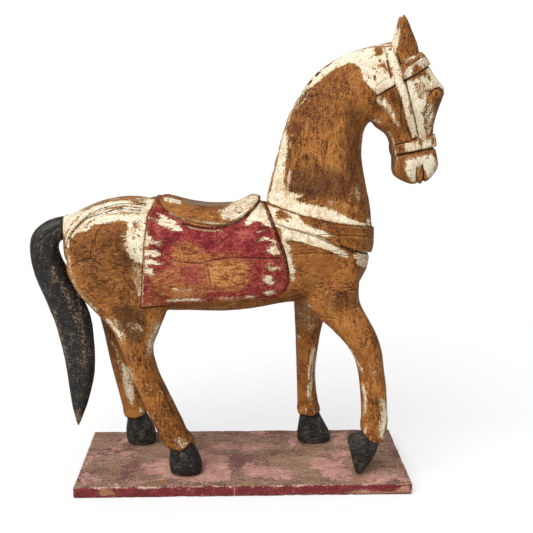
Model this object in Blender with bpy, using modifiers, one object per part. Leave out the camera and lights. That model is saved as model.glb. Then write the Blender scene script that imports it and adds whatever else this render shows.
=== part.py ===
"""A carved and painted wooden horse that walks on a plank base.

Three solids: the plank, the horse carved in one with its saddle and harness, and the tail that butts
on the rump. Metres, +X towards the horse's nose, +Z up, origin in the middle of the plank's underside.

The horse is drawn in side view on a sheet whose unit is a millimetre at AS_DRAWN_HEIGHT: X runs
forward from the plank's middle and Z up from the plank's top. Each limb is a row of sections. A
section is a pair of points on the drawn outline, front then back, with its side place and half
width, so the outline is true and the widths can be set by themselves.
"""

import bmesh
import bpy
import numpy as np
from mathutils import Vector

# Plank base, in metres
BASE_LENGTH = 0.626
BASE_DEPTH = 0.250
BASE_THICKNESS = 0.022
BASE_EDGE_ROUND = 0.002

# The figure, in metres
HORSE_HEIGHT = 0.842
BODY_WIDTH = 0.184
NECK_WIDTH = 0.088
HEAD_WIDTH = 0.078
LEG_WIDTH = 0.054
HOOF_WIDTH = 0.048
TRACK_WIDTH = 0.145
EAR_THICKNESS = 0.020
EAR_SPREAD = 0.046
TAIL_WIDTH = 0.042
POMMEL_WIDTH = 0.130

# Heights of the carved relief, in metres
SADDLE_RELIEF = 0.009
CLOTH_RELIEF = 0.0045
STRAP_RELIEF = 0.004
CREST_RELIEF = 0.003
EYE_RELIEF = 0.003
GROOVE_DEPTH = 0.003

# Fit between the pieces, in metres
PIECE_GAP = 0.0003

# Fineness of the carving, in metres, and the faces kept in the finished horse
CARVING_GRID = 0.0026
HORSE_FACES = 7600
LIMB_SIDES = 28
LIMB_STEPS = 4
TAIL_SIDES = 16
TAIL_STEPS = 2
SOFTENING = 0.5
SOFTENING_PASSES = 4
CREASE_ANGLE = 0.7

# How square each limb's section is, where 2 is an ellipse, and how far its back edge is thinned
BARREL_SQUARE, DOCK_SQUARE, POMMEL_SQUARE, NECK_SQUARE, HEAD_SQUARE = 2.5, 2.6, 2.6, 2.2, 2.9
LEG_SQUARE, HOOF_SQUARE, EAR_SQUARE, TAIL_SQUARE = 2.3, 2.4, 2.0, 2.4
NECK_NARROWING = 0.28
HEAD_NARROWING = -0.06

AS_DRAWN_HEIGHT = 842.0
UNIT = HORSE_HEIGHT / AS_DRAWN_HEIGHT
FLOOR = BASE_THICKNESS + PIECE_GAP
TAIL_SEAT = -331.0

# Colours as linear RGB
WOOD_BROWN = (0.27, 0.115, 0.035, 1.0)
TAIL_BLACK = (0.02, 0.02, 0.02, 1.0)
PLANK_ROSE = (0.36, 0.17, 0.14, 1.0)

# Sections: front x, front z, back x, back z, side place, half width. Sheet units, except that the
# side place is a share of half the track or spread, and the half width a share of the limb's own.
# The tail's and the dock's x is counted from the tail's seat on the rump.
BARREL = (
    (-329, 462, -329, 402, 0, 0.34),
    (-318, 482, -316, 388, 0, 0.60),
    (-296, 495, -292, 366, 0, 0.76),
    (-256, 511, -252, 336, 0, 0.88),
    (-205, 518, -205, 313, 0, 0.95),
    (-150, 510, -150, 307, 0, 0.98),
    (-90, 495, -90, 306, 0, 1.00),
    (-34, 492, -34, 305, 0, 1.00),
    (20, 500, 20, 310, 0, 1.00),
    (80, 508, 80, 321, 0, 0.98),
    (140, 500, 140, 322, 0, 0.92),
    (188, 486, 184, 330, 0, 0.80),
    (219, 468, 212, 352, 0, 0.62),
    (236, 446, 230, 382, 0, 0.36),
)
NECK = (
    (229, 385, 18, 470, 0, 1.66),
    (240, 430, 39, 500, 0, 1.50),
    (239, 470, 48, 530, 0, 1.28),
    (235, 505, 57, 567, 0, 1.10),
    (226, 543, 68, 611, 0, 1.00),
    (217, 590, 81, 657, 0, 0.94),
    (217, 619, 102, 698, 0, 0.90),
    (219, 637, 134, 741, 0, 0.87),
    (228, 654, 177, 769, 0, 0.83),
    (260, 676, 223, 785, 0, 0.78),
    (296, 716, 262, 792, 0, 0.70),
)
HEAD = (
    (308, 786, 264, 792, 0, 0.60),
    (325, 767, 246, 770, 0, 0.84),
    (341, 741, 236, 722, 0, 0.95),
    (363, 714, 229, 676, 0, 1.00),
    (357, 690, 236, 650, 0, 0.96),
    (349, 662, 259, 633, 0, 0.86),
    (346, 640, 266, 620, 0, 0.78),
    (351, 612, 272, 600, 0, 0.76),
    (356, 592, 273, 580, 0, 0.78),
    (359, 576, 274, 563, 0, 0.76),
    (349, 557, 284, 552, 0, 0.68),
    (330, 541, 304, 543, 0, 0.54),
)
NEAR_HIND_LEG = (
    (-177, 439, -301, 445, 0.50, 1.20),
    (-146, 390, -322, 398, 0.62, 1.50),
    (-134, 346, -302, 350, 0.69, 1.52),
    (-142, 310, -270, 314, 0.75, 1.38),
    (-154, 280, -243, 284, 0.80, 1.22),
    (-166, 246, -226, 249, 0.84, 1.06),
    (-159, 207, -213, 209, 0.86, 1.00),
    (-147, 177, -201, 177, 0.87, 0.98),
    (-126, 131, -182, 129, 0.88, 0.98),
    (-110, 94, -165, 90, 0.89, 0.96),
    (-102, 70, -152, 64, 0.90, 0.90),
    (-106, 60, -143, 55, 0.90, 0.72),
)
FAR_HIND_LEG = (
    (-177, 439, -301, 445, 0.50, 1.20),
    (-157, 389, -323, 397, 0.64, 1.50),
    (-167, 346, -307, 350, 0.72, 1.52),
    (-185, 305, -291, 309, 0.80, 1.36),
    (-201, 262, -280, 264, 0.88, 1.18),
    (-211, 220, -273, 221, 0.97, 1.06),
    (-209, 174, -265, 174, 0.98, 0.98),
    (-205, 133, -256, 133, 0.99, 0.96),
    (-199, 95, -248, 95, 1.00, 0.94),
    (-195, 70, -242, 68, 1.00, 0.88),
    (-200, 58, -234, 55, 1.00, 0.70),
)
NEAR_FORE_LEG = (
    (225, 429, 118, 409, 0.54, 1.20),
    (214, 379, 112, 351, 0.67, 1.34),
    (213, 335, 124, 315, 0.76, 1.26),
    (228, 304, 163, 280, 0.85, 1.12),
    (245, 273, 187, 255, 0.92, 1.02),
    (255, 244, 204, 228, 0.94, 0.98),
    (260, 210, 212, 202, 0.97, 0.96),
    (266, 171, 217, 169, 0.98, 0.94),
    (269, 133, 220, 133, 0.99, 0.96),
    (271, 102, 221, 102, 1.00, 0.98),
    (268, 78, 225, 82, 1.00, 0.90),
    (258, 65, 237, 70, 1.00, 0.68),
)
FAR_FORE_LEG = (
    (215, 429, 108, 419, 0.54, 1.20),
    (197, 375, 98, 365, 0.67, 1.32),
    (181, 322, 99, 316, 0.77, 1.24),
    (167, 281, 102, 277, 0.87, 1.08),
    (158, 250, 104, 246, 0.92, 0.98),
    (152, 207, 106, 205, 0.97, 0.92),
    (147, 159, 108, 159, 0.98, 0.88),
    (149, 118, 110, 118, 0.99, 0.88),
    (154, 87, 111, 87, 1.00, 0.90),
    (156, 70, 112, 69, 1.00, 0.86),
    (151, 59, 119, 59, 1.00, 0.68),
)
NEAR_HIND_HOOF = (
    (-101, 79, -139, 73, 0.9, 0.74),
    (-90, 54, -140, 50, 0.9, 0.92),
    (-81, 31, -142, 29, 0.9, 1.04),
    (-77, 13, -142, 13, 0.9, 1.08),
    (-79, -6, -138, -6, 0.9, 1.04),
)
FAR_HIND_HOOF = (
    (-200, 74, -234, 72, 1.0, 0.64),
    (-190, 54, -237, 51, 1.0, 0.82),
    (-180, 33, -240, 31, 1.0, 0.94),
    (-176, 13, -240, 13, 1.0, 1.00),
    (-179, -6, -234, -6, 1.0, 0.96),
)
NEAR_FORE_HOOF = (
    (257, 60, 230, 82, 1.0, 0.80),
    (251, 38, 214, 80, 1.0, 1.00),
    (238, 15, 203, 77, 1.0, 1.06),
    (222, -4, 197, 73, 1.0, 1.04),
    (213, -7, 195, 67, 1.0, 0.96),
)
FAR_FORE_HOOF = (
    (152, 74, 120, 74, 1.0, 0.64),
    (162, 53, 115, 53, 1.0, 0.82),
    (173, 33, 112, 31, 1.0, 0.94),
    (181, 15, 110, 13, 1.0, 1.00),
    (180, -6, 114, -6, 1.0, 0.98),
)
EAR = (
    (312, 774, 266, 758, 0.80, 0.90),
    (309, 790, 267, 778, 0.90, 1.00),
    (300, 808, 269, 800, 0.98, 0.92),
    (291, 826, 272, 820, 1.04, 0.72),
    (284, 838, 275, 836, 1.08, 0.50),
    (282, 842, 278, 842, 1.10, 0.36),
)
TAIL = (
    (0, 437, 0, 482, 0, 0.84),
    (-6, 435, -20, 477, 0, 0.90),
    (-10, 429, -44, 465, 0, 0.96),
    (-11, 419, -62, 441, 0, 1.00),
    (-5, 400, -65, 410, 0, 1.02),
    (10, 368, -59, 372, 0, 1.02),
    (28, 328, -44, 330, 0, 1.00),
    (42, 293, -28, 287, 0, 0.98),
    (47, 250, -18, 245, 0, 0.92),
    (48, 200, -10, 200, 0, 0.84),
    (43, 160, -6, 160, 0, 0.72),
    (32, 120, -2, 120, 0, 0.52),
    (18, 85, 4, 85, 0, 0.28),
    (11, 68, 8, 68, 0, 0.10),
)
DOCK = (
    (41, 430, 41, 488, 0, 0.90),
    (11, 434, 11, 485, 0, 0.88),
    (-5, 437, -5, 482, 0, 0.86),
)
POMMEL = (
    (-26, 485, -26, 440, 0, 0.84),
    (-6, 494, -6, 440, 0, 0.94),
    (13, 505, 13, 440, 0, 1.00),
    (25, 511, 26, 440, 0, 1.00),
    (33, 501, 34, 440, 0, 0.94),
)

# Carved outlines, marked out on the sheet as a viewer in front of the horse sees them
SADDLE_EDGE = (
    (-153, 525), (-138, 504), (-120, 492), (-96, 483), (-67, 478), (-42, 476), (-17, 483), (2, 496),
    (19, 512), (31, 526),
)
SADDLE_OUTLINE = SADDLE_EDGE + ((31, 600), (-153, 600))
CLOTH_OUTLINE = (
    (-158, 545), (-170, 493), (-176, 458), (-180, 420), (-185, 360), (-187, 324), (-128, 331), (-49, 334),
    (30, 341), (57, 345), (71, 356), (78, 379), (68, 430), (51, 471), (37, 514), (28, 545),
)
BREAST_STRAP = (
    (32, 519), (66, 505), (102, 494), (139, 489), (176, 480), (203, 473), (250, 472),
    (250, 426), (220, 424), (195, 427), (177, 435), (149, 448), (121, 459), (76, 473), (43, 485),
)
CHEEK_STRAP = (
    (238, 796), (248, 761), (262, 722), (280, 678), (296, 631), (306, 635), (291, 690), (272, 738),
    (263, 769), (252, 796),
)
BROW_STRAP = ((267, 753), (285, 755), (304, 768), (310, 792), (334, 766), (317, 754), (295, 740), (268, 730))
THROAT_STRAP = ((229, 718), (239, 727), (262, 741), (266, 724), (231, 704))
NOSE_STRAP = ((262, 619), (290, 625), (325, 633), (352, 642), (354, 620), (316, 609), (299, 606), (264, 599))
MOUTH_LINE = ((307, 579), (308, 545))
NOSTRIL_LINE = ((316, 584), (319, 545))
EYE_CENTRE = (336, 708)
EYE_SIZE = 11.0
CREST_LINE = (
    (43, 539), (50, 574), (60, 615), (73, 655), (96, 696), (129, 736), (172, 763), (216, 779), (252, 787),
)
CREST_HALF_WIDTH = 10.0

# The viewer's eye, and the upright plane of the sheet, at the near flank
EYE_POINT = (-0.016, -1.5555, 0.7636)
SHEET_DEPTH = -0.060


def clear_scene():
    for obj in list(bpy.data.objects):
        bpy.data.objects.remove(obj, do_unlink=True)


def smooth_rows(rows, steps):
    """Rows between the given ones, on a Catmull-Rom curve through them."""
    rows = np.array(rows, float)
    padded = np.vstack([2 * rows[0] - rows[1], rows, 2 * rows[-1] - rows[-2]])
    made = []
    for i in range(1, len(padded) - 2):
        before, start, end, after = padded[i - 1 : i + 3]
        for t in np.arange(steps) / steps:
            made.append(
                0.5
                * (
                    2 * start
                    + (end - before) * t
                    + (2 * before - 5 * start + 4 * end - after) * t**2
                    + (3 * start - before - 3 * end + after) * t**3
                )
            )
    made.append(padded[-2])
    return np.array(made)


def section_ring(row, half_width, spread, origin_x, sides, squareness, narrowing):
    """Corners round one section, in metres. Narrowing thins the back edge, as on a neck's crest."""
    front = np.array((row[0] + origin_x, row[1]))
    back = np.array((row[2] + origin_x, row[3]))
    middle, reach = (front + back) / 2, (front - back) / 2
    ring = []
    for angle in np.arange(sides) * 2 * np.pi / sides:
        along, across = np.cos(angle), np.sin(angle)
        along = np.sign(along) * abs(along) ** (2 / squareness)
        across = np.sign(across) * abs(across) ** (2 / squareness)
        x, z = (middle + reach * along) * UNIT
        width = half_width * row[5] * (1 + narrowing * along)
        ring.append((x, spread * row[4] + width * across, z + FLOOR))
    return ring


def add_limb(
    mesh, rows, half_width, squareness, spread=0.0, origin_x=0.0, narrowing=0.0,
    sides=LIMB_SIDES, steps=LIMB_STEPS,
):
    """A closed limb through the sections, added to the bmesh."""
    rings = []
    for row in smooth_rows(rows, steps):
        ring = section_ring(row, half_width, spread, origin_x, sides, squareness, narrowing)
        rings.append([mesh.verts.new(corner) for corner in ring])
    made = []
    for here, there in zip(rings, rings[1:]):
        for i in range(sides):
            j = (i + 1) % sides
            made.append(mesh.faces.new((here[i], here[j], there[j], there[i])))
    made.append(mesh.faces.new(list(reversed(rings[0]))))
    made.append(mesh.faces.new(rings[-1]))
    bmesh.ops.recalc_face_normals(mesh, faces=made)


def make_object(name, mesh, collection):
    """The bmesh as a named object in the collection."""
    data = bpy.data.meshes.new(name)
    mesh.to_mesh(data)
    mesh.free()
    obj = bpy.data.objects.new(name, data)
    collection.objects.link(obj)
    return obj


def make_material(name, colour, roughness):
    material = bpy.data.materials.new(name)
    material.use_nodes = True
    shader = material.node_tree.nodes["Principled BSDF"]
    shader.inputs["Base Color"].default_value = colour
    shader.inputs["Roughness"].default_value = roughness
    shader.inputs["Metallic"].default_value = 0.0
    material.diffuse_color = colour
    return material


def settle_modifiers(obj):
    """Replaces the mesh by what its modifiers make of it."""
    graph = bpy.context.evaluated_depsgraph_get()
    data = bpy.data.meshes.new_from_object(obj.evaluated_get(graph))
    obj.modifiers.clear()
    obj.data = data


def step_up(distance, edge):
    """0 outside, 1 inside, with a short ramp: distance is negative inside."""
    return np.clip(0.5 - distance / edge, 0, 1)


def distance_to_line(points, line):
    """Distance from each point to a line of points."""
    line = np.array(line, float)
    nearest = np.full(len(points), np.inf)
    for start, end in zip(line, line[1:]):
        run = end - start
        t = np.clip((points - start) @ run / (run @ run), 0, 1)
        nearest = np.minimum(nearest, np.linalg.norm(points - (start + t[:, None] * run), axis=1))
    return nearest


def distance_to_outline(points, outline):
    """Signed distance from each point to a closed outline, negative inside."""
    corners = np.array(outline, float)
    closed = np.vstack([corners, corners[:1]])
    inside = np.zeros(len(points), bool)
    for (ax, az), (bx, bz) in zip(closed, closed[1:]):
        crosses = (az > points[:, 1]) != (bz > points[:, 1])
        rise = bz - az if bz != az else 1e-9
        inside ^= crosses & (points[:, 0] < ax + (points[:, 1] - az) * (bx - ax) / rise)
    return distance_to_line(points, closed) * np.where(inside, -1, 1)


def on_sheet(points):
    """Where each point falls on the sheet, seen from the viewer's eye. The far side mirrors the near one."""
    eye = np.array(EYE_POINT)
    reach = (SHEET_DEPTH - eye[1]) / (-np.abs(points[:, 1]) - eye[1])
    seen = eye[[0, 2]] + (points[:, [0, 2]] - eye[[0, 2]]) * reach[:, None]
    return (seen - (0, FLOOR)) / UNIT


def carved_height(points):
    """Height of the saddle, cloth, harness and face above the plain figure, in metres."""
    sheet = on_sheet(points)
    edge = CARVING_GRID / UNIT
    saddle = distance_to_outline(sheet, SADDLE_OUTLINE)
    cloth = distance_to_outline(sheet, CLOTH_OUTLINE)
    height = CLOTH_RELIEF * step_up(cloth, edge) + SADDLE_RELIEF * step_up(saddle, 2 * edge)
    straps = (CHEEK_STRAP, BROW_STRAP, THROAT_STRAP, NOSE_STRAP)
    bridle = np.min([distance_to_outline(sheet, strap) for strap in straps], axis=0)
    breast = np.maximum(distance_to_outline(sheet, BREAST_STRAP), -cloth)
    height = np.maximum(height, STRAP_RELIEF * step_up(bridle, edge))
    height = np.maximum(height, STRAP_RELIEF * step_up(breast, edge))
    crest = np.maximum(distance_to_line(sheet, CREST_LINE) - CREST_HALF_WIDTH, 0)
    height += CREST_RELIEF * np.exp(-((crest / CREST_HALF_WIDTH) ** 2)) * (bridle > 0)
    eye = np.linalg.norm(sheet - EYE_CENTRE, axis=1)
    height += EYE_RELIEF * step_up(eye - EYE_SIZE / 2, EYE_SIZE)
    for line in (MOUTH_LINE, NOSTRIL_LINE):
        height -= GROOVE_DEPTH * step_up(distance_to_line(sheet, line) - edge, 2 * edge)
    return height


def carve_relief(obj):
    """Moves the surface out along its normals by the carved height."""
    data = obj.data
    count = len(data.vertices)
    points = np.empty(count * 3, np.float32)
    normals = np.empty(count * 3, np.float32)
    data.vertices.foreach_get("co", points)
    data.vertices.foreach_get("normal", normals)
    points, normals = points.reshape(-1, 3), normals.reshape(-1, 3)
    moved = points + normals * carved_height(points.astype(float))[:, None]
    data.vertices.foreach_set("co", moved.astype(np.float32).ravel())
    data.update()


def cut_flat(obj, place, normal):
    """Cuts away what lies past a plane, and closes the cut."""
    mesh = bmesh.new()
    mesh.from_mesh(obj.data)
    geometry = list(mesh.verts) + list(mesh.edges) + list(mesh.faces)
    bmesh.ops.bisect_plane(mesh, geom=geometry, dist=1e-6, plane_co=place, plane_no=normal, clear_outer=True)
    rim = [edge for edge in mesh.edges if edge.is_boundary]
    bmesh.ops.holes_fill(mesh, edges=rim, sides=0)
    bmesh.ops.triangulate(mesh, faces=[face for face in mesh.faces if len(face.verts) > 4])
    mesh.to_mesh(obj.data)
    mesh.free()


def build_horse(collection, material):
    """Body, neck, head, ears, legs and hooves, joined and carved as one piece."""
    mesh = bmesh.new()
    add_limb(mesh, BARREL, BODY_WIDTH / 2, BARREL_SQUARE)
    add_limb(mesh, DOCK, TAIL_WIDTH / 2, DOCK_SQUARE, origin_x=TAIL_SEAT)
    add_limb(mesh, POMMEL, POMMEL_WIDTH / 2, POMMEL_SQUARE)
    add_limb(mesh, NECK, NECK_WIDTH / 2, NECK_SQUARE, narrowing=NECK_NARROWING)
    add_limb(mesh, HEAD, HEAD_WIDTH / 2, HEAD_SQUARE, narrowing=HEAD_NARROWING)
    track, leg, hoof = TRACK_WIDTH / 2, LEG_WIDTH / 2, HOOF_WIDTH / 2
    for side, rows in ((-1, NEAR_HIND_LEG), (1, FAR_HIND_LEG), (-1, NEAR_FORE_LEG), (1, FAR_FORE_LEG)):
        add_limb(mesh, rows, leg, LEG_SQUARE, spread=side * track)
    for side, rows in ((-1, NEAR_HIND_HOOF), (1, FAR_HIND_HOOF), (-1, NEAR_FORE_HOOF), (1, FAR_FORE_HOOF)):
        add_limb(mesh, rows, hoof, HOOF_SQUARE, spread=side * track)
    for side in (-1, 1):
        add_limb(mesh, EAR, EAR_THICKNESS / 2, EAR_SQUARE, spread=side * EAR_SPREAD / 2)
    horse = make_object("horse", mesh, collection)
    joined = horse.modifiers.new("one_block", "REMESH")
    joined.mode = "VOXEL"
    joined.voxel_size = CARVING_GRID
    softened = horse.modifiers.new("knife_softened", "SMOOTH")
    softened.factor = SOFTENING
    softened.iterations = SOFTENING_PASSES
    settle_modifiers(horse)
    carve_relief(horse)
    fewer = horse.modifiers.new("fewer_faces", "DECIMATE")
    fewer.ratio = HORSE_FACES / (2 * len(horse.data.polygons))
    settle_modifiers(horse)
    cut_flat(horse, Vector((0, 0, FLOOR)), Vector((0, 0, -1)))
    cut_flat(horse, Vector((TAIL_SEAT * UNIT, 0, 0)), Vector((-1, 0, 0)))
    horse.data.materials.clear()
    horse.data.materials.append(material)
    return horse


def build_tail(collection, material):
    """The tail, which butts on the flat seat at the top of the rump."""
    mesh = bmesh.new()
    half = TAIL_WIDTH / 2
    add_limb(mesh, TAIL, half, TAIL_SQUARE, origin_x=TAIL_SEAT, sides=TAIL_SIDES, steps=TAIL_STEPS)
    tail = make_object("tail", mesh, collection)
    tail.location.x = -PIECE_GAP
    tail.data.materials.append(material)
    return tail


def build_base(collection, material):
    """The plank that the horse stands on."""
    mesh = bmesh.new()
    bmesh.ops.create_cube(mesh, size=1.0)
    bmesh.ops.scale(mesh, vec=(BASE_LENGTH, BASE_DEPTH, BASE_THICKNESS), verts=mesh.verts)
    bmesh.ops.translate(mesh, vec=(0, 0, BASE_THICKNESS / 2), verts=mesh.verts)
    base = make_object("base_plank", mesh, collection)
    worn = base.modifiers.new("worn_edges", "BEVEL")
    worn.width = BASE_EDGE_ROUND
    worn.segments = 2
    base.data.materials.append(material)
    return base


def main():
    clear_scene()
    collection = bpy.data.collections.new("carved_wooden_horse")
    bpy.context.scene.collection.children.link(collection)
    build_base(collection, make_material("painted_plank", PLANK_ROSE, 0.8))
    horse = build_horse(collection, make_material("painted_wood", WOOD_BROWN, 0.6))
    build_tail(collection, make_material("black_paint", TAIL_BLACK, 0.55))
    horse.data.shade_smooth()
    horse.data.set_sharp_from_angle(angle=CREASE_ANGLE)


main()
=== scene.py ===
"""The looks of a carved and painted wooden horse that walks on a plank.

Each piece starts as a copy of its solid, gets a finer skin, and has its carving sharpened: saddle,
cloth, harness, eye, mouth, cracks and knife marks. The worn paint is laid out in pixels of the
photograph, cast on to the surface from the photograph's camera, and kept as attributes that the
materials read. The side that the photograph doesn't show repeats the near one, with its marks moved.
"""

import itertools

import bmesh
import bpy
import numpy as np
from bpy.props import FloatProperty, FloatVectorProperty, IntProperty, PointerProperty
from mathutils import Matrix, Vector


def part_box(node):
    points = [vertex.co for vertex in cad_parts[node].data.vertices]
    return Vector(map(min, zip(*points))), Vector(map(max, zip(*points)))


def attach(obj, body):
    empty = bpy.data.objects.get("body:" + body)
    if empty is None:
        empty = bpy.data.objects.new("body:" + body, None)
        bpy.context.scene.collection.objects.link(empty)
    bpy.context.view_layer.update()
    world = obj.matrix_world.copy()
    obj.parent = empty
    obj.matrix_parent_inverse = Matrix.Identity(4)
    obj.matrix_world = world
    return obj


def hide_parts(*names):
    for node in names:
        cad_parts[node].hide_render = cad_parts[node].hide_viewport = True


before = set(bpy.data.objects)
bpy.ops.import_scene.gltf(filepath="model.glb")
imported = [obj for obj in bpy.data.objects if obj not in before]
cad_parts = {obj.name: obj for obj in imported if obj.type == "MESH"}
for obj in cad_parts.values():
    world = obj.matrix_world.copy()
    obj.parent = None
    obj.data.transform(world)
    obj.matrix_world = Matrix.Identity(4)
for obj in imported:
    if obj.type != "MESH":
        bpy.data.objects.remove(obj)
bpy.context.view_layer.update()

bl_info = {
    "name": "Carved Wooden Horse",
    "version": (1, 0, 0),
    "blender": (4, 5, 0),
    "location": "View3D > Sidebar > Horse",
    "description": "Builds the finish of a carved and painted wooden horse on its plank",
    "category": "Object",
}

# The photograph's camera: pixels, metres and degrees
PHOTO_SIZE = 533
PHOTO_FOCAL = 850.0
SENSOR_WIDTH = 36.0
CAMERA_PLACE = np.array((-0.0161, -1.5605, 0.7636))
CAMERA_YAW, CAMERA_PITCH, CAMERA_ROLL = 2.192, 12.852, 0.37

# Where the key light comes from
KEY_FROM = (-0.50, -0.66, 0.80)

# Heights in metres: the soles, the tops of the legs, the hooves and the ledges over them. The legs
# stand LEG_MIDDLE to each side.
FLOOR = 0.0223
LEG_TOP = 0.325
LEG_BLEND = 0.030
LEG_MIDDLE = 0.0725
HOOF_TOP = 0.14
LEDGE_TOP = 0.17
# Heights and depths, from none to all, over which a mark comes in
TRUNK_FROM = (LEG_TOP - 0.02, LEG_TOP + 0.01)
RIM_TO = (FLOOR + 0.001, FLOOR + 0.007)
HIDDEN_FROM = (0.004, 0.035)

# How far the marks on the hidden side are moved, in pixels, and the size of those waves in metres
HIDDEN_SHIFT = 7.0
HIDDEN_WAVE = 0.09

# Pixels, from none to all, over which the grain turns upright: neck, legs and the strip behind the cloth
NECK_FROM, NECK_FOOT = (262, 290), (215, 250)
LEGS_FROM = (300, 325)
STRIP_FROM, STRIP_TO, STRIP_TOP = (125, 131), (139, 144), (222, 236)
# Scale of the knife marks along the grain, against 1 across it
KNIFE_STRETCH = 0.42
TAIL_STRETCH = 0.35
# Middle heights of the facets, taken off so that they neither swell nor thin the wood
KNIFE_MIDDLE = 0.35
TAIL_MIDDLE = 0.4

# Widths in pixels over which raised work, hooves and paint begin
CLOTH_EDGE = 1.0
SADDLE_EDGE = 1.6
BREAST_EDGE = 1.1
STRAP_EDGE = 0.9
HOOF_EDGE = 0.7
HOOF_BLEND = 2.0
PLANK_EDGE = 12.0
OCHRE_EDGE = 5.0
TAIL_EDGE = 5.0
# The roll along the saddle's lip, the spread of a crack's sides and the fade past its ends, in pixels
LIP_PLACE, LIP_WIDTH = 2.2, 1.8
CRACK_SPREAD = 0.35
CRACK_FADE = (1.5, 4.0)
CRACK_REACH = 4
# Half the width of the crease below the tail's bend, in pixels, and how dark the shade painted into it is
CREASE_WIDTH = 0.6
CREASE_SHADE = 0.8
# The leg's ledge over the hoof: how it falls away above, its edge, and the dip below it, in pixels
LEDGE_ABOVE, LEDGE_EDGE, LEDGE_DIP = (1.0, 9.0), (-0.3, 0.7), (-2.5, 0.2)
# Passes of softening against which hollows and ridges are measured
HOLLOW_PASSES = 8

# How the horse's paint thins out: edges as multiples of the paint edge, and edges cut sharp, in pixels
BARE_EDGE, CRIMSON_EDGE, SOFT_EDGE, GOLD_AND_HIGHLIGHT_EDGE = 0.6, 0.5, 3, 4
CRIMSON_CUT, CLOTH_CUT = 0.6, 0.8
# Shares of paint lost on the inner side of near legs and where the cloth is worn, and dirt in notches
INNER_LOSS, WORN_LOSS = 0.75, 0.75
INNER_FROM = (0.2, 0.5)
NOTCH_DIRT = 0.9
# Depths of the mane's notches against a groove and of the dip against the ledge, and facets on hooves
NOTCH_DEPTH = 0.5
DIP_DEPTH = 0.4
HOOF_FACETS = 0.5

# The plank's wear, and its darker foot, in metres: reach of the worn and of the rubbed edge and of the
# darker foot, sizes of chips, waves and sag
WORN_REACH = 0.004
RUBBED_REACH = 0.0035
FOOT_REACH = 0.005
CHIP_SIZE = 0.011
WAVE_SIZE = 0.035
SAG_SIZE = 0.07
# Height from which a lump is a chip, the waves' share of the wear, and how dark the joint is
CHIP_FROM = 0.15
WAVE_SHARE = 0.5
JOINT_STRENGTH = 0.8
# How upright a face is, from none to all, to count as the plank's side
SIDE_FROM = (0.45, 0.75)
# Rose paint left on the side: at the left end, and what is added toward the right end
SIDE_ROSE = (0.08, 0.42)

# Carved outlines, in pixels of the photograph
SADDLE_LIP = (
    (157, 198), (166, 209.5), (173.5, 214.5), (184, 219), (195, 222), (206, 224), (217, 225),
    (225.5, 224), (234, 221), (243, 216), (249.5, 210.5), (254.5, 205), (260, 200),
)
SADDLE_OUTLINE = SADDLE_LIP + ((262, 150), (157, 150))
SADDLE_GROOVE = (
    (184, 224), (195, 226.5), (208, 228), (222, 227), (233, 224.5), (244, 218.5), (252.5, 210),
    (259, 202),
)
CLOTH_BACK = (
    (153, 206.5), (148, 216), (146.5, 225.5), (143.5, 245), (142.5, 272), (141.5, 288.5),
    (141, 307.5),
)
CLOTH_FOOT = (
    (159, 305.5), (173.5, 303.5), (195, 302.5), (217, 302), (238.5, 300), (260, 298), (274, 296.5),
)
CLOTH_FRONT = (
    (282, 291.5), (286, 284), (287, 277.5), (286, 272), (284, 262.5), (281.5, 250.5),
    (276.5, 238.5), (272, 227.5), (267.5, 213.5), (264.5, 204), (260, 199.5),
)
CLOTH_OUTLINE = CLOTH_BACK + CLOTH_FOOT + CLOTH_FRONT + ((258, 150), (162, 150))
BREAST_TOP = (
    (262, 201), (281, 209), (301, 215.5), (321.5, 218.5), (342, 223), (357, 226.5), (385, 227.5),
)
BREAST_FOOT = (
    (385, 253), (365.5, 253.5), (352, 251.5), (342, 247.5), (326.5, 240.5), (311.5, 234.5),
    (286, 227), (268, 220),
)
BREAST_GROOVE = ((342, 246.5), (352, 250.5), (365.5, 253.5), (376, 254))
CHEEK_STRAP = (
    (385, 46), (386, 52), (388, 61.5), (391, 73.5), (395.5, 85), (399.5, 94.5), (404, 111),
    (409, 129), (412.5, 139), (418.5, 136.5), (414, 118), (410.5, 104), (406.5, 86.5), (401.5, 76),
    (400, 66.5), (397, 57), (392, 46),
)
BROW_STRAP = (
    (399, 66.5), (409, 65.5), (420.5, 58), (420.5, 51), (424, 49), (432, 61.5), (428, 66.5),
    (420.5, 71), (415, 74.5), (405.5, 79.5), (399, 80.5),
)
THROAT_STRAP = ((376, 87.5), (382, 82), (391, 76), (396, 78), (394, 86), (377, 96))
NOSE_STRAP = (
    (396, 144.5), (409, 142), (417, 139), (429, 137), (434, 134), (440, 134), (440, 146),
    (423, 150.5), (413.5, 152.5), (397, 155),
)
# The hooves: -1 on the near side or 1 on the far side, outline
HOOFS = {
    "near hind": (-1, (
        (166, 447), (179, 451), (184, 449), (191, 442.5), (200, 450), (208, 460), (210, 476),
        (206, 486), (160, 486), (160, 460),
    )),
    "near fore": (-1, (
        (340, 422), (360, 427.5), (365.5, 435.5), (370.5, 441), (374.5, 443), (380, 443),
        (388, 446), (380, 484), (350, 484), (338, 450),
    )),
    "far hind": (1, (
        (121, 415), (133, 418.5), (138.5, 417), (142.5, 415), (147, 411), (156, 412), (165, 426),
        (165, 450), (121, 452),
    )),
    "far fore": (1, (
        (292, 411), (299.5, 413.5), (303.5, 415), (312, 416), (317, 413.5), (320, 410), (336, 428),
        (340, 438), (336, 450), (292, 450),
    )),
}
# The eye: middle and radius in pixels, and its rim's place and width in radii, and depth
EYE_CENTRE = (436.5, 94.5)
EYE_RADIUS = 4.6
EYE_FALL = 1.6
RIM_PLACE, RIM_WIDTH, RIM_DEPTH = 1.25, 0.3, 0.55
# Heights between which the far ear bends over to the near one
EAR_FOOT = 0.800
EAR_TOP = 0.850
# Length over which the tail's tip is drawn out to the solid's own end
TIP_LENGTH = 0.080

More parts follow.
